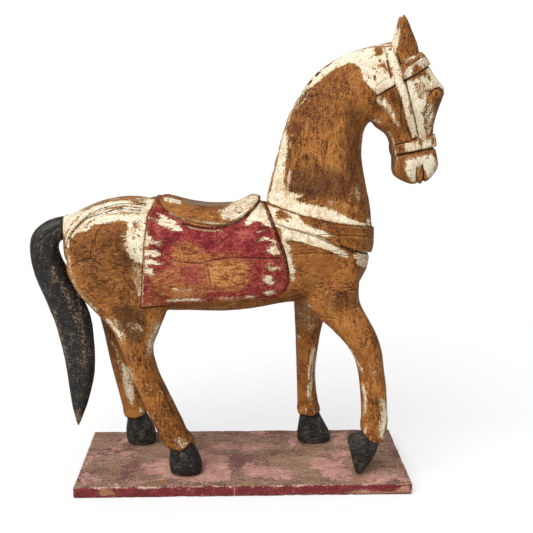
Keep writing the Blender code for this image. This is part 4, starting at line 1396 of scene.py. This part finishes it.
def painted_wood(settings):
    """Brown wood under worn cream and crimson paint, and the black of the hooves, with shade painted into
    hollows and under raised parts, and highlight painted into some golden places.
    """
    finish = Finish("painted_wood")
    upright = finish.kept("upright")
    _, grain = finish.grained(upright, 0.30, scale=90, detail=7, roughness=0.66, distortion=2.2)
    fibres = {"scale": 560, "detail": 3, "roughness": 0.6, "distortion": 0.4}
    lying_fibre, fibre = finish.grained(upright, 0.12, **fibres)
    mottle = finish.noise(9, 6, 0.58, 1.5)
    stain = finish.noise(75, 7, 0.66, 0.4)
    specks = finish.noise(330, 5, 0.68)
    hollow = finish.kept("hollow")
    wood_tone = 0.5 + mottle.swing(1.9) + grain.swing(2.2) + stain.swing(0.7)
    # Golden places lighten the wood: partly real tone, partly painted highlight
    gold = finish.kept("gold")
    wood_tone = wood_tone + fibre.swing(1.9) + specks.swing(2.7) + gold * 0.24
    wood = finish.ramp(
        wood_tone,
        (0.05, settings.wood_dark),
        (0.42, settings.wood),
        (0.66, settings.wood_light),
        (0.98, settings.wood_pale),
    )
    warmth = finish.noise(24, 6, 0.6, 1.2)
    golden = (warmth + specks.swing(0.5) + gold * 0.15).between(0.46, 0.66)
    wood = finish.blend(golden * 0.6, wood, settings.wood_gold)
    redness = finish.noise(15, 6, 0.62, 1.6)
    reddish = (redness + fibre.swing(0.5)).between(0.50, 0.66)
    wood = finish.blend(reddish * 0.45, wood, settings.wood_red)
    cloth = finish.kept("cloth")
    under_cloth = finish.ramp(
        wood_tone,
        (0.08, settings.cloth_dark),
        (0.5, settings.cloth_wood),
        (0.9, settings.cloth_pale),
    )
    wood = finish.blend(cloth, wood, under_cloth)
    pores = (specks * 0.45 + fibre * 0.45 + stain * 0.1).between(0.545, 0.63)
    wood = finish.blend(pores * 0.55, wood, settings.wood_stain_and_shade)
    # Dirt darkens the wood, and so does the shade painted under the brow band, the nose band and the
    # saddle's lip, along the belly and on the neck
    dirt_and_shade = (finish.kept("grime") * 1.15 + stain.swing(0.7) + fibre.swing(0.5)).between(0.10, 0.90)
    wood = finish.blend(dirt_and_shade * 0.85, wood, settings.wood_stain_and_shade)
    grey = (finish.kept("grey") + stain.swing(0.9) + specks.swing(0.6)).between(0.3, 0.6)
    wood = finish.blend(grey * 0.7, wood, settings.wood_grey)

    _, tear = finish.grained(upright, 0.28, scale=120, detail=8, roughness=0.70, distortion=0.7)
    chip = finish.noise(300, 5, 0.68)
    torn = tear.swing(2.5) + chip.swing(2.4) + specks.swing(1.0)

    crimson_left = finish.kept("crimson")
    crimson_value = crimson_left * 1.08 - 0.02 + torn * 0.75 + stain.swing(0.9)
    crimson_share = crimson_value.between(0.40, 0.68)
    crimson_haze = (crimson_left + stain.swing(0.5)).between(0.05, 0.95)
    crimson = finish.ramp(
        0.47 + stain.swing(1.2) + fibre.swing(0.8) + specks.swing(1.0) + mottle.swing(0.8),
        (0.26, settings.crimson_dark),
        (0.5, settings.crimson),
        (0.80, settings.crimson_pale),
    )
    colour = finish.blend(crimson_haze * 0.42, wood, settings.crimson_haze)
    crimson_depth = (crimson_left * 0.75 + 0.2).between(0.0, 1.0)
    colour = finish.blend(crimson_share * crimson_depth, colour, crimson)

    cream_left = finish.kept("cream")
    cream_value = cream_left * 1.22 - 0.24 + torn
    cream_share = cream_value.between(0.43, 0.56)
    thin_cream = cream_value.between(0.05, 0.48)
    _, rub = finish.grained(upright, 0.35, scale=42, detail=8, roughness=0.72, distortion=0.8)
    rubbed_cream = (rub.swing(2.6) + chip.swing(1.6) + 1.05 - cream_left).between(0.20, 0.75)
    cream_tone = 0.54 + mottle.swing(1.2) + stain.swing(1.9) + fibre.swing(1.6) + specks.swing(1.6)
    cream = finish.ramp(
        cream_tone,
        (0.08, settings.cream_dark),
        (0.38, settings.cream),
        (0.62, settings.cream_light),
    )
    flecks = (specks * 0.6 + stain * 0.4).between(0.55, 0.64)
    cream = finish.blend(flecks * 0.6, cream, settings.cream_dirt_and_shade)
    cream = finish.blend(rubbed_cream * 0.75, cream, settings.cream_worn)
    # The same dirt and painted shade on the cream
    cream = finish.blend(dirt_and_shade * 0.6, cream, settings.cream_dirt_and_shade)
    colour = finish.blend(thin_cream * 0.38, colour, settings.cream_worn)
    colour = finish.blend(cream_share, colour, cream)

    black_share = finish.kept("black").between(0.42, 0.58)
    rim = finish.kept("rim")
    rubbed = (specks * 0.5 + stain * 0.2 + grain * 0.3 + rim * 0.13).between(0.58, 0.66)
    hoof_tone = 0.46 + lying_fibre.swing(1.9) + stain.swing(1.6)
    black = finish.ramp(
        hoof_tone + specks.swing(0.7) + mottle.swing(0.8),
        (0.25, settings.black),
        (0.55, settings.black_worn),
        (0.95, settings.black_grey),
    )
    black = finish.blend(rubbed * (rim * 0.6 + 0.25), black, settings.black_rubbed)
    colour = finish.blend(black_share, colour, black)

    broken = (stain.swing(2.2) + chip.swing(1.2) + 0.75).between(0.2, 0.8)
    crack = finish.cracks(0.45, 1.15) * finish.kept("cracked").between(0.05, 0.7) * broken
    colour = finish.blend(crack * 0.9, colour, settings.crack)
    # Painted shade: the colour darkens in the hollows of the carving
    hollow_shade = (hollow + stain.swing(0.25)).between(0.10, 0.50)
    colour = finish.blend(hollow_shade * 0.5, colour, settings.crack)
    ridge = (0 - hollow + chip.swing(0.3)).between(0.16, 0.45) * (1 - black_share)
    colour = finish.blend(ridge * 0.2, colour, settings.wood_pale)

    paint = cream_share * (1 - black_share)
    roughness = 0.60 + stain.swing(0.3) + paint * 0.08 - black_share * 0.05 + crack * 0.2
    fine = finish.bump(grain * 0.5 + fibre * 0.5 + chip * 0.5 + specks * 0.6, 0.0016, 0.65)
    flaked = finish.bump(paint * 0.8 + crimson_share * 0.25 - crack * 1.2, 0.0008, 0.8, fine)
    return finish.finish(colour, roughness, flaked, 0.16)


def black_paint(settings):
    """Worn black paint over brown wood, for the tail, with shade painted into its hollows and its crease.
    """
    finish = Finish("black_paint")
    mottle = finish.noise(30, 6, 0.62, 0.4)
    grain = finish.noise(170, 5, 0.62, 0.6, finish.stretched((1, 1, 0.2), (0.0, 0.25, 0.0)))
    specks = finish.noise(330, 5, 0.68)
    stain = finish.noise(90, 7, 0.68, 0.4)
    tone = 0.29 + mottle.swing(1.8) + grain.swing(1.8) + stain.swing(1.7) + specks.swing(2.0)
    black = finish.ramp(
        tone,
        (0.1, settings.black_deep_and_shade),
        (0.48, settings.black),
        (0.9, settings.black_grey),
    )
    worn = finish.kept("worn")
    chips = (worn * 0.55 + 0.05 + specks.swing(3.2) + stain.swing(0.9)).between(0.38, 0.58)
    rubbed = finish.ramp(specks, (0.4, settings.rubbed), (0.62, settings.rubbed_pale))
    colour = finish.blend(chips * 0.62, black, rubbed)
    # Painted shade in the tail's hollows
    hollow_shade = (finish.kept("hollow") + stain.swing(0.2)).between(0.06, 0.4)
    colour = finish.blend(hollow_shade * 0.7, colour, settings.black_deep_and_shade)
    # Painted shade in the crease below the tail's bend
    crack = finish.cracks(0.5, 1.3) * finish.kept("cracked")
    colour = finish.blend(crack * 0.8, colour, settings.black_deep_and_shade)
    roughness = 0.48 + stain.swing(0.4) + chips * 0.25
    fine = finish.bump(grain * 0.6 + specks * 0.5 + stain * 0.4, 0.0016, 0.6)
    return finish.finish(colour, roughness, finish.bump(0 - chips, 0.0006, 0.7, fine), 0.45)


def plank_paint(settings):
    """Worn rose, mauve and dark red paint over grey-brown boards."""
    finish = Finish("plank_paint")
    grain = finish.noise(85, 8, 0.70, 1.4, finish.stretched((0.26, 1, 1)))
    fibre = finish.noise(420, 4, 0.62, 0.6, finish.stretched((0.22, 1, 1)))
    mottle = finish.noise(19, 7, 0.64, 0.6, finish.stretched((0.6, 1, 1)))
    stain = finish.noise(70, 7, 0.68, 0.4)
    specks = finish.noise(330, 5, 0.68)
    tone = 0.5 + mottle.swing(1.3) + grain.swing(1.6) + fibre.swing(1.4) + specks.swing(2.4)
    wood = finish.ramp(
        tone,
        (0.08, settings.board_dark),
        (0.48, settings.board),
        (0.9, settings.board_light),
    )
    brush = finish.noise(44, 9, 0.74, 1.0, finish.stretched((0.45, 1, 1)))
    torn = brush.swing(3.6) + grain.swing(1.4) + stain.swing(1.2) + specks.swing(2.0)
    ochre = (finish.kept("ochre") + torn * 0.5).between(0.42, 0.62)
    colour = finish.blend(ochre * 0.85, wood, settings.ochre)
    mauve = (finish.kept("mauve") + 0.12 - torn * 0.8).between(0.42, 0.62)
    colour = finish.blend(mauve * 0.72, colour, settings.mauve)
    rose = (finish.kept("rose") * 0.95 + 0.09 + torn * 0.95).between(0.42, 0.58)
    rose_tone = stain * 0.5 + fibre * 0.2 + specks * 0.3
    rose_colour = finish.ramp(
        rose_tone,
        (0.36, settings.rose_dark),
        (0.52, settings.rose),
        (0.66, settings.rose_light),
    )
    colour = finish.blend(rose * 0.9, colour, rose_colour)
    side = finish.kept("side")
    red = (side * 1.05 - finish.kept("ochre") + torn * 0.75).between(0.30, 0.60)
    red_colour = finish.ramp(
        stain * 0.5 + specks * 0.5,
        (0.42, settings.red_dark),
        (0.54, settings.red),
        (0.64, settings.red_pale),
    )
    colour = finish.blend(red * 0.95, colour, red_colour)
    rubbed = (finish.kept("edge") * 0.85 + torn * 0.7).between(0.50, 0.76)
    colour = finish.blend(rubbed * 0.75, colour, settings.rose_light)
    # The sides are darker toward their foot
    darker_at_foot = (finish.kept("foot") * 0.9 + torn * 0.3).between(0.40, 0.75)
    colour = finish.blend(darker_at_foot * 0.55, colour, settings.board_dark)
    crack = finish.cracks(0.7, 1.35) * finish.kept("cracked")
    colour = finish.blend(crack * 0.45, colour, settings.rose_light)
    roughness = 0.74 + stain.swing(0.25)
    fine = finish.bump(grain * 0.6 + fibre * 0.4 + specks * 0.5, 0.0014, 0.6)
    flaked = finish.bump(rose * 0.7 + red * 0.5 + mauve * 0.3, 0.0006, 0.7, fine)
    return finish.finish(colour, roughness, flaked, 0.25)


def colour_choice(name, description, default):
    kind = {"subtype": "COLOR", "min": 0, "max": 1}
    return FloatVectorProperty(name=name, description=description, default=default, **kind)


def length_choice(name, description, default):
    kind = {"unit": "LENGTH", "min": 0, "precision": 5}
    return FloatProperty(name=name, description=description, default=default, **kind)


def amount_choice(name, description, default, **limits):
    return FloatProperty(name=name, description=description, default=default, **limits)


def count_choice(name, description, default, least=0):
    return IntProperty(name=name, description=description, default=default, min=least)


class HorseSettings(bpy.types.PropertyGroup):
    """Sizes and colours of the horse's carving and paint."""

    grid: length_choice("Skin grid", "Size of the fine skin's squares before it is thinned out", 0.0015)
    triangles: count_choice("Triangles", "Most triangles in the finished horse", 190000, 1000)
    smoothing: count_choice("Smoothing", "Passes that soften the solid's facets", 26)
    saddle_relief: length_choice("Saddle relief", "How far the saddle stands proud", 0.009)
    cloth_relief: length_choice("Cloth relief", "How far the saddle cloth stands proud", 0.0045)
    strap_relief: length_choice("Strap relief", "How far the harness stands proud", 0.004)
    lip_height: length_choice("Saddle lip", "Height of the roll along the saddle's edge", 0.0016)
    groove_depth: length_choice("Groove depth", "Depth of the carved grooves", 0.0024)
    crack_depth: length_choice("Crack depth", "Depth of the cracks in the wood", 0.0012)
    ear_lean: length_choice("Ear lean", "How far the far ear's tip leans toward the near one", 0.0035)
    eye_height: length_choice("Eye height", "Height of the eyeball", 0.0022)
    ledge_height: length_choice("Ledge over the hoof", "How far a leg stands proud over its hoof", 0.0026)
    facet_size: length_choice("Facet size", "Width of the facets that the knife left", 0.017)
    facet_depth: length_choice("Facet depth", "Depth of the facets that the knife left", 0.0007)
    paint_edge: amount_choice("Paint edge", "Pixels over which paint thins out", 4.0, min=0.1)
    wood: colour_choice("Wood", "Bare wood", srgb(122, 72, 31))
    wood_light: colour_choice("Light wood", "Rubbed wood", srgb(156, 96, 43))
    wood_pale: colour_choice("Pale wood", "Wood at its palest", srgb(194, 134, 72))
    wood_dark: colour_choice("Dark wood", "Wood at its darkest", srgb(62, 32, 11))
    wood_gold: colour_choice("Golden wood", "Warmer places in the wood", srgb(164, 104, 46))
    wood_red: colour_choice("Red wood", "Redder places in the wood", srgb(118, 58, 26))
    # Stained wood is also the colour of the painted shade on the wood
    wood_stain_and_shade: colour_choice("Stained wood", "Dirt that has sunk into the wood", srgb(56, 32, 16))
    wood_grey: colour_choice("Grey wood", "Weathered wood on the seat", srgb(138, 120, 100))
    cloth_wood: colour_choice("Cloth wood", "Wood that shows through the cloth's paint", srgb(166, 100, 50))
    cloth_pale: colour_choice("Pale cloth wood", "Palest wood under the cloth", srgb(212, 154, 94))
    cloth_dark: colour_choice("Dark cloth wood", "Darkest wood under the cloth", srgb(96, 44, 24))
    cream: colour_choice("Cream", "Cream paint", srgb(228, 208, 174))
    cream_light: colour_choice("Light cream", "Cream paint at its cleanest", srgb(248, 238, 214))
    cream_dark: colour_choice("Dark cream", "Yellowed cream paint", srgb(200, 172, 130))
    cream_worn: colour_choice("Worn cream", "Cream paint rubbed thin over the wood", srgb(196, 156, 108))
    # Cream dirt is also the colour of the painted shade on the cream
    cream_dirt_and_shade: colour_choice("Cream dirt", "Dirt on the cream paint", srgb(158, 124, 84))
    crimson: colour_choice("Crimson", "Crimson paint", srgb(134, 34, 40))
    crimson_dark: colour_choice("Dark crimson", "Crimson paint at its darkest", srgb(86, 16, 24))
    crimson_pale: colour_choice("Pale crimson", "Rubbed crimson paint", srgb(184, 92, 82))
    crimson_haze: colour_choice("Crimson haze", "Red left in the rubbed wood", srgb(158, 62, 46))
    black: colour_choice("Black", "Black paint on the hooves", srgb(26, 25, 23))
    black_worn: colour_choice("Worn black", "Rubbed black paint", srgb(50, 47, 43))
    black_grey: colour_choice("Grey black", "Dusty black paint", srgb(98, 90, 80))
    black_rubbed: colour_choice("Rubbed hoof", "Wood that shows through the black", srgb(132, 102, 76))
    # Also the colour of the shade painted into the horse's hollows
    crack: colour_choice("Crack", "Bottom of cracks and grooves", srgb(40, 24, 14))


class TailSettings(bpy.types.PropertyGroup):
    """Sizes and colours of the tail."""

    grid: length_choice("Skin grid", "Size of the fine skin's squares", 0.0013)
    triangles: count_choice("Triangles", "Most triangles in the finished tail", 60000, 1000)
    smoothing: count_choice("Smoothing", "Passes that soften the solid's facets", 24)
    facet_size: length_choice("Facet size", "Width of the facets that the knife left", 0.015)
    facet_depth: length_choice("Facet depth", "Depth of the facets that the knife left", 0.0010)
    groove_depth: length_choice("Groove depth", "Depth of the crease below the tail's bend", 0.0022)
    black: colour_choice("Black", "Black paint", srgb(37, 33, 27))
    # Deep black is also the colour of the shade painted into the tail's hollows and crease
    black_deep_and_shade: colour_choice("Deep black", "Black paint at its darkest", srgb(13, 12, 11))
    black_grey: colour_choice("Grey black", "Dusty black paint", srgb(92, 82, 68))
    rubbed: colour_choice("Rubbed tail", "Wood that shows through the black", srgb(116, 92, 66))
    rubbed_pale: colour_choice("Pale rubbed tail", "Palest wood through the black", srgb(176, 146, 112))


class PlankSettings(bpy.types.PropertyGroup):
    """Sizes and colours of the plank."""

    grid: length_choice("Skin grid", "Size of the fine skin's squares", 0.0021)
    triangles: count_choice("Triangles", "Most triangles in the finished plank", 150000, 1000)
    wear: length_choice("Worn edge", "How deep the plank's edges are worn", 0.0022)
    sag: length_choice("Sag", "How uneven the plank's top is", 0.0008)
    board: colour_choice("Board", "Bare board", srgb(142, 110, 90))
    board_dark: colour_choice("Dark board", "Darkest board", srgb(82, 57, 45))
    board_light: colour_choice("Light board", "Palest board", srgb(176, 142, 116))
    rose: colour_choice("Rose", "Rose paint", srgb(196, 146, 132))
    rose_light: colour_choice("Light rose", "Rose paint at its palest", srgb(236, 202, 186))
    rose_dark: colour_choice("Dark rose", "Rose paint at its darkest", srgb(166, 112, 100))
    mauve: colour_choice("Mauve", "Mauve paint", srgb(114, 68, 71))
    ochre: colour_choice("Ochre", "Bare wood along the edge", srgb(160, 110, 68))
    red: colour_choice("Red", "Red paint on the edges", srgb(126, 38, 44))
    red_dark: colour_choice("Dark red", "Red paint at its darkest", srgb(98, 26, 32))
    red_pale: colour_choice("Pale red", "Rubbed red paint", srgb(176, 104, 94))


class StageSettings(bpy.types.PropertyGroup):
    """The floor and the light."""

    floor_size: length_choice("Floor size", "Width of the floor", 14.0)
    key: amount_choice("Key light", "Strength of the soft light at the upper left", 2.8, min=0)
    key_angle: amount_choice(
        "Key softness", "Width of the key light in the sky", np.radians(50), subtype="ANGLE"
    )
    sky: amount_choice("Sky", "Strength of the light from all round", 0.45, min=0)
    paper: amount_choice("Paper", "How white the floor and the sky look", 0.58, min=0, max=1)
    floor: colour_choice("Floor", "The floor's colour", (0.62, 0.62, 0.62))


class HORSE_OT_carve(bpy.types.Operator):
    """Sharpens the horse's carving and lays on its worn paint"""

    bl_idname = "horse.carve"
    bl_label = "Carve and paint the horse"

    def execute(self, context):
        settings = context.scene.horse_settings
        piece = fine_copy("horse", "horse_carved", settings.grid)
        data = piece.data
        edges = edges_of(data)
        points = softened(points_of(data), edges, settings.smoothing)
        far_ear = ramp(points[:, 2], EAR_FOOT, EAR_TOP) * (points[:, 1] > 0)
        points[:, 0] += settings.ear_lean * far_ear
        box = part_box("horse")
        crown = points[:, 2].max()
        points[:, 2] += (box[1][2] - crown) * ramp(points[:, 2], EAR_FOOT, crown)
        pixels = marked_out(points)
        crisp = carved_height(pixels, settings)
        height = crisp - softened(crisp, edges, settings.smoothing)
        height += cut_marks(points, pixels, settings)
        facets, _ = knife_marks(points, pixels, settings)
        height += facets * (1 - hoof_share(points, pixels, HOOF_BLEND) * HOOF_FACETS)
        set_points(data, points)
        move_points(piece, points + points_of(data, "normal") * height[:, None], box)
        thin_out(piece, settings.triangles)
        paint_the_horse(piece.data, settings)
        dress(piece, "horse", painted_wood(settings))
        return {"FINISHED"}


class HORSE_OT_tail(bpy.types.Operator):
    """Sharpens the tail's carving and lays on its worn black paint"""

    bl_idname = "horse.tail"
    bl_label = "Carve and paint the tail"

    def execute(self, context):
        settings = context.scene.tail_settings
        piece = fine_copy("tail", "tail_carved", settings.grid)
        data = piece.data
        edges = edges_of(data)
        points = softened(points_of(data), edges, settings.smoothing)
        tip = points[:, 2].min()
        points[:, 2] += (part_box("tail")[0][2] - tip) * (1 - ramp(points[:, 2], tip, tip + TIP_LENGTH))
        set_points(data, points)
        facets = scoops(points * (1, 1, TAIL_STRETCH), settings.facet_size, salt=5)
        height = settings.facet_depth * (facets**2 - TAIL_MIDDLE)
        share, width, line = GROOVES["tail's crease"]
        away = distance_to_line(to_photo(points), line)
        height -= settings.groove_depth * share * np.exp(-((away / width) ** 2))
        move_points(piece, points + points_of(data, "normal") * height[:, None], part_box("tail"))
        thin_out(piece, settings.triangles)
        data = piece.data
        pixels = to_photo(points_of(data))
        # The material paints shade into the deeper hollows
        store(data, "hollow", hollows(data, settings.grid))
        store(data, "worn", covered(pixels, {}, TAIL_WEAR, TAIL_EDGE))
        # Painted shade: the crease below the bend is darkened, kept as a crack that the material reads
        near, side = to_segments(pixels, np.array(line, float))
        store(data, "crack", near * side / CREASE_WIDTH)
        store(data, "cracked", CREASE_SHADE * (near < CRACK_REACH))
        dress(piece, "tail", black_paint(settings))
        return {"FINISHED"}


def edge_reach(points, low, high):
    """Distance from each point on the plank's skin to the nearest edge."""
    return np.sort(np.minimum(points - low, high - points), axis=1)[:, 1]


class HORSE_OT_plank(bpy.types.Operator):
    """Wears the plank's edges and lays on its paint"""

    bl_idname = "horse.plank"
    bl_label = "Wear and paint the plank"

    def execute(self, context):
        settings = context.scene.plank_settings
        piece = fine_copy("base_plank", "plank_worn", settings.grid)
        data = piece.data
        points, normals = points_of(data), points_of(data, "normal")
        low, high = (np.array(corner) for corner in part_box("base_plank"))
        edge = np.exp(-edge_reach(points, low, high) / WORN_REACH)
        chips = np.maximum(lumps(points, CHIP_SIZE, salt=2) - CHIP_FROM, 0)
        chips += WAVE_SHARE * np.maximum(lumps(points, WAVE_SIZE, salt=4), 0)
        depth = settings.wear * edge * chips
        sag = 0.5 + 0.5 * lumps(points, SAG_SIZE, salt=6)
        depth += settings.sag * sag * (points[:, 2] > 0.5 * high[2])
        move_points(piece, points - normals * depth[:, None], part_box("base_plank"))
        thin_out(piece, settings.triangles)
        data = piece.data
        points, normals = points_of(data), points_of(data, "normal")
        pixels = to_photo(points)
        side = ramp(np.abs(normals[:, :2]).max(axis=1), *SIDE_FROM)
        rose = covered(pixels, ROSE_PATCHES, {}, PLANK_EDGE) * (1 - side)
        side_rose = SIDE_ROSE[0] + SIDE_ROSE[1] * ramp(points[:, 0], low[0], high[0])
        store(data, "side", side)
        # How near each point of the sides lies to their foot, where the colour darkens
        store(data, "foot", side * np.exp(-(points[:, 2] - low[2]) / FOOT_REACH))
        store(data, "edge", np.exp(-edge_reach(points, low, high) / RUBBED_REACH))
        store(data, "rose", np.maximum(rose, side * side_rose))
        store(data, "mauve", covered(pixels, MAUVE_PATCHES, {}, PLANK_EDGE) * (1 - side))
        store(data, "ochre", covered(pixels, OCHRE_PATCHES, {}, OCHRE_EDGE))
        joint = (points[:, 0] - JOINT_PLACE) / JOINT_WIDTH
        store(data, "crack", np.clip(joint, -FAR, FAR))
        store(data, "cracked", side * JOINT_STRENGTH)
        dress(piece, "base_plank", plank_paint(settings))
        return {"FINISHED"}


class HORSE_OT_stage(bpy.types.Operator):
    """Puts a pale floor under the horse, soft light round it and the camera before it"""

    bl_idname = "horse.stage"
    bl_label = "Set the stage"

    def execute(self, context):
        settings = context.scene.stage_settings
        mesh = bmesh.new()
        bmesh.ops.create_grid(mesh, x_segments=1, y_segments=1, size=settings.floor_size / 2)
        data = bpy.data.meshes.new("floor")
        mesh.to_mesh(data)
        mesh.free()
        floor = bpy.data.objects.new("floor", data)
        context.scene.collection.objects.link(floor)
        paper = Finish("floor_paper")
        seen = paper.node("ShaderNodeLightPath", {}, {}, "Is Camera Ray")
        colour = paper.blend(seen, settings.floor, (1.0 - settings.paper,) * 3)
        glow = paper.blend(seen, (0.0, 0.0, 0.0), (settings.paper,) * 3)
        paper.plug(paper.shader.inputs["Emission Color"], glow)
        paper.plug(paper.shader.inputs["Emission Strength"], 1.0)
        grain = paper.noise(900, 2, 0.5)
        data.materials.append(paper.finish(colour, 0.9, paper.bump(grain, 0.0002, 0.05), 0.0))
        lamp = bpy.data.lights.new("key", "SUN")
        lamp.energy = settings.key
        lamp.angle = settings.key_angle
        light = bpy.data.objects.new("key", lamp)
        light.rotation_euler = Vector(KEY_FROM).to_track_quat("Z", "Y").to_euler()
        context.scene.collection.objects.link(light)
        world = bpy.data.worlds.new("studio")
        studio = Nodes(world)
        sky = studio.tree.nodes["Background"]
        seen = studio.node("ShaderNodeLightPath", {}, {}, "Is Camera Ray")
        studio.plug(sky.inputs["Strength"], studio.between_numbers(seen, settings.sky, 1.0))
        studio.plug(sky.inputs["Color"], (1.0, 1.0, 1.0))
        context.scene.world = world
        context.scene.view_settings.view_transform = "Standard"
        lens = bpy.data.cameras.new("camera")
        lens.sensor_width = SENSOR_WIDTH
        lens.lens = PHOTO_FOCAL / PHOTO_SIZE * SENSOR_WIDTH
        camera = bpy.data.objects.new("camera", lens)
        right, up, forward = (Vector(axis) for axis in camera_axes())
        place = Matrix((right, up, -forward)).transposed().to_4x4()
        place.translation = Vector(CAMERA_PLACE)
        camera.matrix_world = place
        context.scene.collection.objects.link(camera)
        context.scene.camera = camera
        return {"FINISHED"}


class HORSE_PT_panel(bpy.types.Panel):
    """Lists the horse's pieces and the stage"""

    bl_idname = "HORSE_PT_panel"
    bl_label = "Carved Wooden Horse"
    bl_space_type = "VIEW_3D"
    bl_region_type = "UI"
    bl_category = "Horse"

    def draw(self, context):
        for operator in OPERATORS:
            self.layout.operator(operator.bl_idname)
        for name in SETTINGS:
            box = self.layout.box()
            group = getattr(context.scene, name)
            for key in group.__annotations__:
                box.prop(group, key)


SETTINGS = {
    "horse_settings": HorseSettings,
    "tail_settings": TailSettings,
    "plank_settings": PlankSettings,
    "stage_settings": StageSettings,
}
OPERATORS = (HORSE_OT_plank, HORSE_OT_carve, HORSE_OT_tail, HORSE_OT_stage)


def register():
    for group in (*SETTINGS.values(), *OPERATORS, HORSE_PT_panel):
        bpy.utils.register_class(group)
    for name, group in SETTINGS.items():
        setattr(bpy.types.Scene, name, PointerProperty(type=group))


def unregister():
    for name in SETTINGS:
        delattr(bpy.types.Scene, name)
    for group in reversed((*SETTINGS.values(), *OPERATORS, HORSE_PT_panel)):
        bpy.utils.unregister_class(group)


def main():
    register()
    bpy.ops.horse.plank()
    bpy.ops.horse.carve()
    bpy.ops.horse.tail()
    bpy.ops.horse.stage()


if __name__ == "__main__":
    main()
